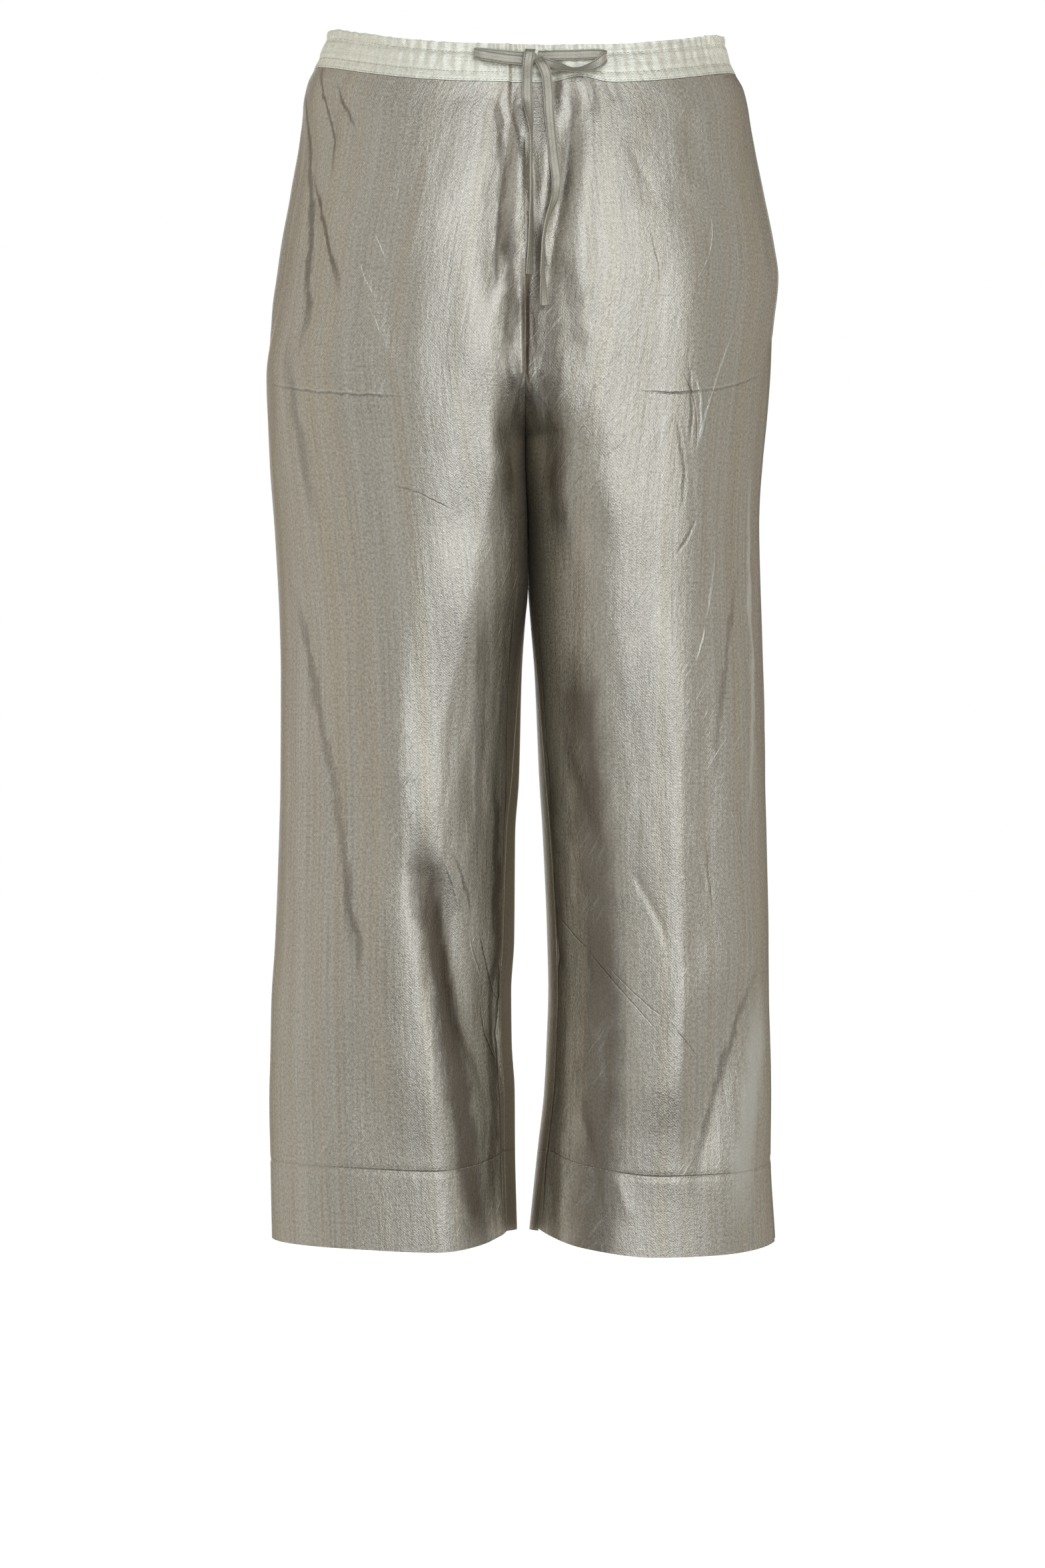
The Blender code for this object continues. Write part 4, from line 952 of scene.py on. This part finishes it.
def noised(tree, place, noise):
    """Noise stretched along one direction of the cloth."""
    mapping = node(tree, "ShaderNodeMapping", {"Vector": place, "Scale": (noise.across, noise.down, 1)})
    made = node(tree, "ShaderNodeTexNoise", {"Vector": mapping.outputs["Vector"], "Scale": 1.0,
                                             "Detail": noise.detail, "Roughness": noise.roughness})
    return made.outputs["Fac"]


def ranged(tree, value, low, high, to_low=0.0, to_high=1.0):
    """Spread part of a value's range over another range."""
    return node(tree, "ShaderNodeMapRange", {"Value": value, "From Min": low, "From Max": high,
                                             "To Min": to_low, "To Max": to_high}).outputs["Result"]


def math(tree, operation, first, second=0.0, third=0.0):
    """One step of arithmetic."""
    return node(tree, "ShaderNodeMath", {0: first, 1: second, 2: third}, operation=operation).outputs["Value"]


def groove(tree, away, width, core=0.0):
    """1 along a line, as far as its core reaches, and 0 from its width on, with soft sides."""
    return node(tree, "ShaderNodeMapRange",
                {"Value": away, "From Min": width * core, "From Max": width, "To Min": 1.0, "To Max": 0.0},
                interpolation_type="SMOOTHSTEP").outputs["Result"]


def cloth_place(leg, face, x, z):
    """The finish's coordinates at a place on a leg panel, seen from the front or the back."""
    share = np.linspace(0, 1, 500)
    height = z
    for _ in range(4):
        points = cloth_points(leg, face, share, height)
        nearest = np.argmin(np.abs(points[:, 0] - x))
        height += z - points[nearest, 2]
    across = along(plan_points(leg, face, share, np.full(share.shape, height)))[nearest]
    return 0.5 + leg * face * across * MM, 1 + height * MM


def hairline(tree, axes, frayed, leg, face, hair):
    """How much of a hairline lies at a place: a frayed parabola through its path, run out at both ends."""
    path = np.array([cloth_place(leg, face, x, z) for x, z in hair.path])
    run, off = ("X", "Y") if hair.across else ("Y", "X")
    on, aside = (path[:, 0], path[:, 1]) if hair.across else (path[:, 1], path[:, 0])
    bend, slope, start = np.polyfit(on, aside, 2)
    place = axes.outputs[run]
    middle = math(tree, "MULTIPLY_ADD", math(tree, "MULTIPLY_ADD", place, bend, slope), place, start)
    fray = math(tree, "MULTIPLY", frayed, min(hair.width * FRAY, MOST_FRAY) * MM)
    away = math(tree, "ABSOLUTE", math(tree, "SUBTRACT", math(tree, "ADD", axes.outputs[off], fray), middle))
    centre, half = (on.min() + on.max()) / 2, (on.max() - on.min()) / 2
    end = math(tree, "ABSOLUTE", math(tree, "SUBTRACT", place, centre))
    ends = ranged(tree, end, half, half - min(half / 2, HAIR_END * MM))
    return math(tree, "MULTIPLY", groove(tree, away, hair.width * MM, 0 if hair.depth else FOLD_CORE), ends)


def mixed(tree, share, first, second, blend="MIX"):
    """Two colours mixed."""
    return node(tree, "ShaderNodeMix", {"Factor": share, "A": first, "B": second},
                data_type="RGBA", blend_type=blend).outputs["Result"]


def solid(colour):
    return (*colour, 1.0)


def new_finish(name):
    """An empty material and its nodes."""
    finish = bpy.data.materials.new(name)
    finish.use_nodes = True
    finish.node_tree.nodes.clear()
    return finish, finish.node_tree


def satin(name, colours, twill, roughness=0.36, metal=0.9, panel=None, taped=False, gathered=False):
    """Shot satin twill: streaks, slubs and sparkle, diagonal lines and a soft crumple, with painted shade and
    painted highlights along folds and hairlines, and light strokes of painted sheen.
    """
    finish, tree = new_finish(name)
    place = unturned = node(tree, "ShaderNodeUVMap", uv_map="cloth").outputs["UV"]
    if gathered:
        turned = node(tree, "ShaderNodeMapping", {"Vector": place, "Rotation": (0, 0, pi / 2)})
        place = turned.outputs["Vector"]
    axes = node(tree, "ShaderNodeSeparateXYZ", {"Vector": place})
    across, down = axes.outputs["X"], axes.outputs["Y"]
    seen = {kind: noised(tree, place, noise) for kind, noise in NOISES.items()}

    def times(first, second):
        return math(tree, "MULTIPLY", first, second)

    def apart(first, second):
        return math(tree, "ABSOLUTE", math(tree, "SUBTRACT", first, second))

    def tinted(share, colour):
        return mixed(tree, share, tint, solid(colour))

    def shaded(value, low, high, *shades):
        return mixed(tree, 1.0, tint, ranged(tree, value, low, high, *shades), "MULTIPLY")

    def raised(value, height):
        return math(tree, "ADD", weave, times(value, height))

    stripes = math(tree, "SINE", math(tree, "MULTIPLY_ADD", across, 2 * pi / WARP_STRIPE,
                                      times(seen["broad"], STRIPE_WANDER)))
    worn = ranged(tree, seen["worn"], 0.5, 0.68, LEAST_WORN, 1.0)
    diagonal = math(tree, "ADD", across, down)
    seen["lines"] = lines = math(tree, "SINE", times(diagonal, 2 * pi / (twill * 2 ** 0.5)))
    tint = solid(colours["main"])
    for kind, low, high, share, colour in TINTS:
        tint = tinted(ranged(tree, seen[kind], low, high, 0.0, share), colours[colour])
    sparkle = CALM_SPARKLE if gathered or taped else SPARKLE
    tint = shaded(seen["grain"], 0.35, 0.65, 1 - sparkle, 1 + sparkle)
    tint = shaded(stripes, -1, 1, *STRIPE_SHADES)
    tint = tinted(ranged(tree, lines, -1, 1, 0.0, LINES_SHARE), colours["deep"])
    rough = ranged(tree, seen["grain"], 0.3, 0.7, roughness - ROUGH_SPREAD, roughness + ROUGH_SPREAD)
    weave = 0.0
    for kind, height in RELIEF.items():
        weave = raised(seen[kind], height)
    weave = raised(times(seen["crumple"], worn), CRUMPLE_RELIEF)
    frayed = ranged(tree, seen["frayed"], 0.25, 0.75, -1, 1)
    # Each hairline and soft fold darkens the cloth with painted shade, or pales it with a painted highlight
    # where its mark is below zero
    for hair in HAIRS.get(panel, ()):
        line = hairline(tree, axes, frayed, *panel, hair)
        weave = raised(line, -hair.depth)
        less = ranged(tree, worn, LEAST_WORN, 1, 1, WORN_MARK)
        tint = tinted(times(times(line, abs(hair.mark)), less), SHADE if hair.mark > 0 else BRIGHT)
    from_middle = apart(across, 0.5)
    if panel and panel[1] == FRONT:
        level = ranged(tree, down, 1 + (MOUTH_FOOT - MOUTH_END) * MM, 1 + (MOUTH_FOOT + MOUTH_END) * MM)
        strip = ranged(tree, from_middle, (MOUTH_STRIP - MOUTH_SOFT) * MM, (MOUTH_STRIP + MOUTH_SOFT) * MM,
                       MOUTH_PALE, 0)
        tint = tinted(times(strip, level), BRIGHT)
        edge = apart(from_middle, (MOUTH_STRIP + MOUTH_LINE_AT) * MM)
        line = times(groove(tree, edge, MOUTH_LINE * MM), level)
        weave = raised(line, -MOUTH_LINE_DEPTH)
        tint = tinted(times(line, MOUTH_LINE_MARK), colours["deep"])
    if taped:
        row = groove(tree, apart(from_middle, TAPE_ROW * MM), TAPE_LINE * MM)
        middle = groove(tree, from_middle, TAPE_LINE * MM)
        tint = tinted(times(row, TAPE_ROW_MARK), colours["deep"])
        tint = tinted(times(middle, TAPE_MIDDLE_MARK), colours["deep"])
        weave = raised(row, -TAPE_ROW_DEPTH)
    if gathered:
        # The band's dark streaks are painted shade of its gathers, in grooves of their own
        streaks = noised(tree, unturned, BAND_STREAKS)
        tint = tinted(ranged(tree, streaks, 0.5, 0.68, 0.0, STREAK_SHADE), colours["deep"])
        casing = ranged(tree, across, *(1 + foot * MM for foot in HEADING_FOOT), HEADING_STREAKS, 1)
        weave = raised(times(streaks, casing), -STREAK_DEPTH)
    if panel:
        # Light strokes: a painted sheen, with a little relief, in the worn patches
        slanted = node(tree, "ShaderNodeMapping", {"Vector": place, "Rotation": (0, 0, STROKE_SLANT)})
        strokes = noised(tree, slanted.outputs["Vector"], STROKES)
        strokes = times(ranged(tree, strokes, 0.58, 0.76), worn)
        tint = tinted(times(strokes, STROKE_SHARE), BRIGHT)
        weave = raised(strokes, STROKE_RELIEF)
        line = groove(tree, apart(down, 1 + (HEM + HEM_DEPTH) * MM), HEM_LINE_WIDTH * MM)
        weave = raised(line, -HEM_LINE_DEPTH)
        tint = tinted(times(line, HEM_LINE_MARK), colours["deep"])
    bump = node(tree, "ShaderNodeBump", {"Strength": 1.0, "Distance": MM, "Height": weave})
    tangent = node(tree, "ShaderNodeTangent", direction_type="UV_MAP", uv_map="cloth")
    shader = node(tree, "ShaderNodeBsdfPrincipled", {
        "Base Color": tint, "Metallic": metal, "Roughness": rough, "Specular Tint": (0.7, 0.62, 0.5, 1),
        "Normal": bump.outputs["Normal"], "Anisotropic": 0.3, "Tangent": tangent.outputs["Tangent"],
    })
    node(tree, "ShaderNodeOutputMaterial", {"Surface": shader.outputs["BSDF"]})
    return finish


def thread_finish(name, colour):
    """Twisted sewing thread."""
    finish, tree = new_finish(name)
    place = node(tree, "ShaderNodeTexCoord").outputs["Object"]
    twist = node(tree, "ShaderNodeTexNoise", {"Vector": place, "Scale": THREAD_TWISTS, "Detail": 1.0,
                                              "Roughness": 0.5}).outputs["Fac"]
    dark = solid([c * THREAD_DARK for c in colour])
    tint = mixed(tree, ranged(tree, twist, 0.3, 0.7, 0.0, 0.4), solid(colour), dark)
    bump = node(tree, "ShaderNodeBump", {"Strength": 0.3, "Distance": 0.0001, "Height": twist})
    shader = node(tree, "ShaderNodeBsdfPrincipled", {
        "Base Color": tint, "Roughness": 0.55, "Normal": bump.outputs["Normal"], "Sheen Weight": 0.2,
    })
    node(tree, "ShaderNodeOutputMaterial", {"Surface": shader.outputs["BSDF"]})
    return finish


def dress(thing, finish, slot, *nodes):
    """Give a piece its finish and its body, and hide the solids it stands for; the slot is not used."""
    thing.data.materials.append(finish)
    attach(thing, "root")
    if nodes:
        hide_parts(*nodes)
    return thing


def sew(name, runs, width, pitch, share=0.78, height=0.5):
    """Stitches along runs of points in metres, each run with its ways out of the cloth."""
    form = bmesh.new()
    for points, outs in runs:
        distance = along(points)
        count = max(1, int(distance[-1] / pitch))
        middles = (np.arange(count) + 0.5) * distance[-1] / count
        for middle in middles:
            ends = [np.array([np.interp(middle + half, distance, points[:, axis]) for axis in range(3)])
                    for half in (-pitch * share / 2, pitch * share / 2)]
            run = ends[1] - ends[0]
            length = np.linalg.norm(run)
            if length < pitch * LEAST_STITCH:
                continue
            out = np.array([np.interp(middle, distance, outs[:, axis]) for axis in range(3)])
            run = run / length
            out = out - run * out.dot(run)
            if np.linalg.norm(out) < LEAST_OUT:
                continue
            out /= np.linalg.norm(out)
            aside = np.cross(out, run)
            centre = (ends[0] + ends[1]) / 2
            axes = np.stack([run * length / 2, aside * width / 2, out * width * height], axis=1)
            matrix = Matrix([[*axes[row], centre[row]] for row in range(3)] + [[0, 0, 0, 1]])
            bmesh.ops.create_icosphere(form, subdivisions=1, radius=1.0, matrix=matrix)
    return add_mesh(form, name)


def run_on(surface, *places):
    """Points on a surface and the ways out of it, in metres."""
    points = surface(*places, 0.05) * MM
    higher = surface(*places, 1.05) * MM
    outs = (higher - points) / MM
    return points, outs


def panel_surface(leg, face):
    """The finished outer surface of one leg panel, as a function of share, height and out."""
    def surface(share, height, out=0.0):
        share, height = np.broadcast_arrays(np.asarray(share, float), np.asarray(height, float))
        return cloth_points(leg, face, share, height, out + panel_detail(leg, face, share, height))
    return surface


def make_panel(leg, face, sizes, finish):
    """One leg panel as a thin sheet on its solid's form."""
    name = FACE[face] + "_" + SIDE[leg]
    part = 1 if face == FRONT else sizes.coarser
    side = np.linspace(BAND_FOOT - BAND_LAP, HEM, round(sizes.down * part) + 1)
    share = np.linspace(0, 1, round(sizes.across * part) + 1)
    height = side[:, None] + (ROW_AT["inner"](side) - side)[:, None] * eased(share, ROWS_LEVEL, 1)[None, :]
    share = np.broadcast_to(share, height.shape)
    points = panel_surface(leg, face)(share, height)
    steps = np.linalg.norm(np.diff(plan_points(leg, face, share, height), axis=1), axis=-1)
    across = np.concatenate([np.zeros((len(side), 1)), np.cumsum(steps, axis=1)], axis=1)
    uvs = np.stack([0.5 + leg * face * across * MM, 1 + height * MM], axis=-1)
    thing = finish_grid(name + "_cloth", points, uvs, sizes.wall, flipped=leg * face > 0)
    dress(thing, finish, "cloth", name)
    return thing


def gather(face, place):
    """The waistband's gathers at places along it, about -1 to 1."""
    distance = place * HALF_BAND[face]
    phase = distance / GATHER_PITCH[face]
    for share, length, start in GATHER_WANDER:
        phase = phase + share * np.sin(distance / length + start)
    return np.sin(2 * pi * phase) * gather_strength(face, place)


def gather_strength(face, place):
    """How strong the gathers are at places along the waistband."""
    if face == BACK:
        return np.ones(np.shape(place))
    return FRONT_GATHER + (1 - FRONT_GATHER) * eased(np.abs(place), GATHER_START, GATHER_END)


def band_surface(face, sizes):
    """The finished outer surface of half the waistband, over place, height and out."""
    seam = SEAM_GAP / 2 / HALF_BAND[face]

    def surface(place, height, out=0.0):
        place, height = np.broadcast_arrays(np.asarray(place, float), np.asarray(height, float))
        share = np.clip(1 - np.abs(place), seam, 1)
        distance = place * HALF_BAND[face]
        level = np.clip(height, BAND_FOOT, BAND_TOP)
        stand = out + BAND_AT["out"](level)
        stand = stand + BAND_AT["gather"](level) * gather(face, place) * sizes.gather / MM
        fine = waves(distance + PUCKER_LEAN * level, level, PUCKER_WAVES, 21 + face)
        gathers = gather_strength(face, place)
        strength = (LEAST_PUCKER + (1 - LEAST_PUCKER) * gathers) * BAND_AT["pucker"](level)
        stand = stand + fine * strength * sizes.pucker / MM
        left = cloth_points(LEFT, face, share, level, stand)
        right = cloth_points(RIGHT, face, share, level, stand)
        points = np.where((place < 0)[..., None], left, right)
        frill = eased(height, FRILL_FOOT, BAND_TOP)
        lift = FRILL * waves(distance, 0 * distance, FRILL_WAVES, 33 + face) * frill * gathers
        points[..., 2] += height - level + lift
        return points

    return surface


def make_band(face, sizes, wall, finish):
    """Half of the waistband, front or back, with its casing and frilled heading."""
    name = "waistband_" + FACE[face]
    place = np.linspace(-1, 1, sizes.across + 1)
    height = np.linspace(BAND_TOP, BAND_FOOT, sizes.down + 1)
    places, heights = np.meshgrid(place, height)
    points = band_surface(face, sizes)(places, heights)
    uvs = np.stack([0.5 - face * places * HALF_BAND[face] * MM, 1 + heights * MM], axis=-1)
    thing = finish_grid(name + "_cloth", points, uvs, wall * BAND_LAYERS, flipped=face == FRONT)
    dress(thing, finish, "band", name)
    return thing


def make_facing(leg, sizes, finish):
    """The facing behind a side pocket's mouth."""
    name = "pocket_facing_" + SIDE[leg]
    height = np.linspace(*FACING_ENDS, 90)
    reach = np.linspace(0, FACING_SHOWN, 24)
    heights, reaches = np.meshgrid(height, reach, indexing="ij")
    share = reaches / panel_width(leg, FRONT, heights)
    depth = np.maximum(mouth_flare(leg, share, heights), FACING_SET - FACING_GAP) + FACING_GAP
    points = cloth_points(leg, FRONT, share, heights, -depth)
    uvs = np.stack([0.5 - leg * reaches * MM, 1 + heights * MM], axis=-1)
    thing = finish_grid(name + "_cloth", points, uvs, sizes.wall, flipped=leg < 0)
    dress(thing, finish, "cloth", name)
    return thing


def tape_frame(stops, level_width, spacing=0.0009):
    """Points along a tape's middle, with its width and thickness directions."""
    table = np.array(stops, float)
    distance = along(table[:, :3])
    steps = np.linspace(0, distance[-1], round(distance[-1] / spacing) + 1)
    run = np.array([natural_curve(distance, table[:, axis], steps) for axis in range(4)]).T
    middle, turns = run[:, :3], np.radians(run[:, 3])
    tangent = np.gradient(middle, axis=0)
    tangent /= np.linalg.norm(tangent, axis=1)[:, None]
    base = np.array([1.0, 0, 0]) if level_width else np.array([0, 0, 1.0])
    width = base * np.cos(turns)[:, None] + np.array([0, 1.0, 0]) * np.sin(turns)[:, None]
    width -= tangent * np.sum(width * tangent, axis=1)[:, None]
    width /= np.linalg.norm(width, axis=1)[:, None]
    thick = np.cross(width, tangent)
    return middle, width, thick


def make_tape(name, sizes, finish, threads, thread_finish_pale):
    """A flat stretch of the drawstring with a row of stitches near each edge."""
    stops = ROUTES[name]
    middle, width, thick = tape_frame(stops, level_width="tail" in name)
    across = np.linspace(-1, 1, 9)
    crown = TAPE_CROWN * (1 - across ** 4) - TAPE_SET
    distance = along(middle)
    lumps = TAPE_LUMPS * waves(distance / MM, 0 * distance, TAPE_WAVES, 5)
    points = (middle[:, None] + width[:, None] * (across * sizes.width / 2)[None, :, None]
              + thick[:, None] * (crown[None, :] + lumps[:, None])[..., None])
    uvs = np.stack(np.meshgrid(0.5 + across * sizes.width / 2, distance), axis=-1)
    thing = finish_grid(name + "_tape", points / MM, uvs)
    wall = thing.modifiers.new("Layers", "SOLIDIFY")
    wall.thickness = sizes.wall
    wall.offset = 0.0
    edge = thing.modifiers.new("Folded edges", "BEVEL")
    edge.width = TAPE_EDGE
    edge.segments = 2
    edge.limit_method = "ANGLE"
    dress(thing, finish, "tape", name)
    runs = []
    for side in (-1, 1):
        for front in (-1, 1):
            outs = thick * front
            row = middle + width * side * (sizes.width / 2 - ROW_INSET) + outs * (sizes.wall / 2 + ROW_STANDS)
            runs.append((row, outs))
    stitches = sew(name + "_stitches", runs, threads.width * FINE_STITCH, threads.stitch * TAPE_STITCH)
    dress(stitches, thread_finish_pale, "tape")
    return thing


def make_knot(finish):
    """The knot: a rounded lump wound round with folded tape."""
    name = "drawstring_knot"
    form = bmesh.new()
    bmesh.ops.create_uvsphere(form, u_segments=48, v_segments=32, radius=1.0)
    for vertex in form.verts:
        x, y, z = vertex.co
        wrap = sum(depth * np.sin(turns * (by_x * x + by_z * z)) for turns, by_x, by_z, depth in KNOT_WRAPS)
        pinch = 1 - KNOT_PINCH * np.exp(-(z / KNOT_WAIST) ** 2)
        scale = (1 + wrap) * pinch
        vertex.co = np.array([x * scale, y * scale, z * (1 + wrap / 2)]) * KNOT_SIZE + KNOT_AT
    layer = form.loops.layers.uv.new("cloth")
    for corner_face in form.faces:
        for loop in corner_face.loops:
            loop[layer].uv = (0.5 + loop.vert.co.x, loop.vert.co.z)
    return dress(add_mesh(form, name + "_tape"), finish, "tape", name)


def shades(colour, pale, deep):
    """A colour with its paler and darker shades."""
    paler = [c * pale for c in colour]
    return {"main": colour, "pale": paler, "warm": paler, "deep": [c * deep for c in colour]}


def cloth_finish(sizes, name, panel=None):
    """The satin in the cloth's own colours."""
    colours = {"main": sizes.colour, "pale": sizes.pale, "warm": sizes.warm, "deep": sizes.deep}
    return satin(name, colours, sizes.twill, panel=panel)


class PANTS_OT_leg_panels(bpy.types.Operator):
    """Make the two front and the two back panels"""
    bl_idname = "pants.leg_panels"
    bl_label = "Leg panels"

    def execute(self, context):
        sizes = context.scene.pants_cloth
        for leg, face in PANELS:
            finish = cloth_finish(sizes, FACE[face] + "_cloth_" + SIDE[leg], (leg, face))
            make_panel(leg, face, sizes, finish)
        return {"FINISHED"}


class PANTS_OT_pocket_facings(bpy.types.Operator):
    """Make the facings behind the side pockets' mouths"""
    bl_idname = "pants.pocket_facings"
    bl_label = "Pocket facings"

    def execute(self, context):
        sizes = context.scene.pants_cloth
        finish = cloth_finish(sizes, "facing_cloth")
        for leg in (LEFT, RIGHT):
            make_facing(leg, sizes, finish)
        return {"FINISHED"}


class PANTS_OT_waistband(bpy.types.Operator):
    """Make the gathered waistband, front and back"""
    bl_idname = "pants.waistband"
    bl_label = "Waistband"

    def execute(self, context):
        sizes = context.scene.pants_band
        cloth = context.scene.pants_cloth
        finish = satin("band_cloth", shades(sizes.colour, 1.12, 0.65), cloth.twill, roughness=0.58,
                       gathered=True)
        for face in (FRONT, BACK):
            make_band(face, sizes, cloth.wall, finish)
        return {"FINISHED"}


class PANTS_OT_drawstring(bpy.types.Operator):
    """Make the drawstring's knot, loops and tails"""
    bl_idname = "pants.drawstring"
    bl_label = "Drawstring"

    def execute(self, context):
        sizes = context.scene.pants_tape
        cloth = context.scene.pants_cloth
        threads = context.scene.pants_thread
        finish = satin("tape_cloth", shades(sizes.colour, 1.15, 0.6), cloth.twill, roughness=0.52,
                       metal=0.6, taped=True)
        stitched = thread_finish("tape_thread", threads.colour)
        knot = make_knot(finish)
        for name in ROUTES:
            make_tape(name, sizes, finish, threads, stitched)
        return {"FINISHED"}


class PANTS_OT_stitching(bpy.types.Operator):
    """Sew the waistband, the pockets' mouths and the hems"""
    bl_idname = "pants.stitching"
    bl_label = "Stitching"

    def execute(self, context):
        threads = context.scene.pants_thread
        band = context.scene.pants_band
        for face in (FRONT, BACK):
            surface = band_surface(face, band)
            place = np.linspace(-BAND_SEWN, BAND_SEWN, 900)
            runs = [run_on(surface, place, level) for level in BAND_STITCH_ROWS]
            stitches = sew("waistband_" + FACE[face] + "_stitches", runs, threads.width, threads.stitch)
            dress(stitches, thread_finish("band_thread_" + FACE[face], threads.colour), "band")
        pale = thread_finish("pale_thread", threads.pale)
        for leg, face in PANELS:
            surface = panel_surface(leg, face)
            runs = [run_on(surface, np.linspace(*HEM_SEWN, 300), HEM + HEM_DEPTH)]
            stitches = sew("hem_" + FACE[face] + "_" + SIDE[leg] + "_stitches", runs,
                           threads.width * HEM_THREAD, threads.stitch * 2, share=HEM_STITCH)
            dress(stitches, pale, "cloth")
        for leg in (LEFT, RIGHT):
            surface = panel_surface(leg, FRONT)
            height = np.linspace(MOUTH_TOP - MOUTH_SEWN, MOUTH_FOOT + MOUTH_SEWN, 240)
            width = panel_width(leg, FRONT, height)
            runs = [run_on(surface, inset / width, height) for inset in MOUTH_STITCH_ROWS[leg]]
            stitches = sew("pocket_" + SIDE[leg] + "_stitches", runs, threads.width * FINE_STITCH,
                           threads.stitch * FINE_STITCH)
            dress(stitches, pale, "cloth")
        return {"FINISHED"}


class PANTS_OT_stage(bpy.types.Operator):
    """Make the floor, the lights and the camera"""
    bl_idname = "pants.stage"
    bl_label = "Stage"

    def execute(self, context):
        sizes = context.scene.pants_stage
        make_floor(sizes)
        make_lights(sizes)
        make_camera(sizes)
        return {"FINISHED"}


def make_floor(sizes):
    """A pale floor under the hems."""
    form = bmesh.new()
    bmesh.ops.create_circle(form, cap_ends=True, segments=96, radius=FLOOR_RADIUS)
    bmesh.ops.translate(form, verts=form.verts, vec=(0, 0, sizes.floor))
    floor = add_mesh(form, "floor")
    finish = bpy.data.materials.new("floor")
    finish.use_nodes = True
    shader = finish.node_tree.nodes["Principled BSDF"]
    for name, value in {"Base Color": (0.3, 0.3, 0.3, 1), "Roughness": 0.8, "Specular IOR Level": 0.0,
                        "Emission Color": (1, 1, 1, 1), "Emission Strength": 0.95}.items():
        shader.inputs[name].default_value = value
    floor.data.materials.append(finish)
    floor.visible_glossy = floor.visible_diffuse = floor.visible_shadow = False


def make_lights(sizes):
    """A large soft light at the front and one at the back, in a room with pale sides."""
    for light in LIGHTS:
        data = bpy.data.lights.new(light.name, "AREA")
        data.shape = "RECTANGLE"
        data.size, data.size_y = light.width, light.height
        data.energy = sizes.key * light.share
        data.color = LIGHT_COLOUR
        lamp = bpy.data.objects.new(light.name, data)
        lamp.location = (light.x, light.y, light.z)
        lamp.rotation_euler = (Vector(LIT_AT) - lamp.location).to_track_quat("-Z", "Y").to_euler()
        lamp.visible_camera = False
        bpy.context.scene.collection.objects.link(lamp)
    world = bpy.data.worlds.new("room")
    world.use_nodes = True
    tree = world.node_tree
    tree.nodes.clear()
    seen = node(tree, "ShaderNodeBackground", {"Color": (1, 1, 1, 1), "Strength": 1.0})
    around = node(tree, "ShaderNodeTexCoord").outputs["Generated"]
    direction = node(tree, "ShaderNodeSeparateXYZ", {"Vector": around})
    strength = FRONT_GLOW
    for way, glow in SIDE_GLOW.items():
        aside = math(tree, "MULTIPLY", direction.outputs["X"], way)
        side = node(tree, "ShaderNodeMapRange",
                    {"Value": aside, "From Min": SIDE_FROM, "From Max": SIDE_FULL, "To Max": glow},
                    interpolation_type="SMOOTHSTEP")
        strength = math(tree, "ADD", strength, side.outputs["Result"])
    lit = node(tree, "ShaderNodeBackground", {"Color": ROOM_COLOUR, "Strength": strength})
    path = node(tree, "ShaderNodeLightPath")
    both = node(tree, "ShaderNodeMixShader",
                {0: path.outputs["Is Camera Ray"], 1: lit.outputs[0], 2: seen.outputs[0]})
    node(tree, "ShaderNodeOutputWorld", {"Surface": both.outputs["Shader"]})
    bpy.context.scene.world = world
    bpy.context.scene.view_settings.view_transform = "Standard"


def make_camera(sizes):
    """The camera, level with the knees and square to the front."""
    data = bpy.data.cameras.new("camera")
    data.lens = sizes.lens
    data.sensor_width = 36.0
    camera = bpy.data.objects.new("camera", data)
    camera.location = (CAMERA_AT[0], -sizes.distance, CAMERA_AT[1])
    camera.rotation_euler = (pi / 2, 0, 0)
    bpy.context.scene.collection.objects.link(camera)
    bpy.context.scene.camera = camera


OPERATORS = [PANTS_OT_stage, PANTS_OT_drawstring, PANTS_OT_leg_panels, PANTS_OT_pocket_facings,
             PANTS_OT_waistband, PANTS_OT_stitching]
SETTINGS = {
    "pants_cloth": ClothSizes,
    "pants_band": BandSizes,
    "pants_tape": TapeSizes,
    "pants_thread": ThreadSizes,
    "pants_stage": StageSizes,
}


class PANTS_PT_sidebar(bpy.types.Panel):
    """The pieces' sizes and the buttons that make them."""
    bl_label = "Straight pants"
    bl_space_type = "VIEW_3D"
    bl_region_type = "UI"
    bl_category = "Pants"

    def draw(self, context):
        layout = self.layout
        for name, group in SETTINGS.items():
            box = layout.box()
            box.label(text=group.__doc__)
            for size in group.__annotations__:
                box.prop(getattr(context.scene, name), size)
        for operator in OPERATORS:
            layout.operator(operator.bl_idname)


def register():
    for name, group in SETTINGS.items():
        bpy.utils.register_class(group)
        setattr(bpy.types.Scene, name, PointerProperty(type=group))
    for operator in OPERATORS:
        bpy.utils.register_class(operator)
    bpy.utils.register_class(PANTS_PT_sidebar)


def unregister():
    bpy.utils.unregister_class(PANTS_PT_sidebar)
    for operator in reversed(OPERATORS):
        bpy.utils.unregister_class(operator)
    for name, group in reversed(SETTINGS.items()):
        delattr(bpy.types.Scene, name)
        bpy.utils.unregister_class(group)


def main():
    register()
    bpy.ops.pants.stage()
    bpy.ops.pants.drawstring()
    bpy.ops.pants.leg_panels()
    bpy.ops.pants.pocket_facings()
    bpy.ops.pants.waistband()
    bpy.ops.pants.stitching()


if __name__ == "__main__":
    main()
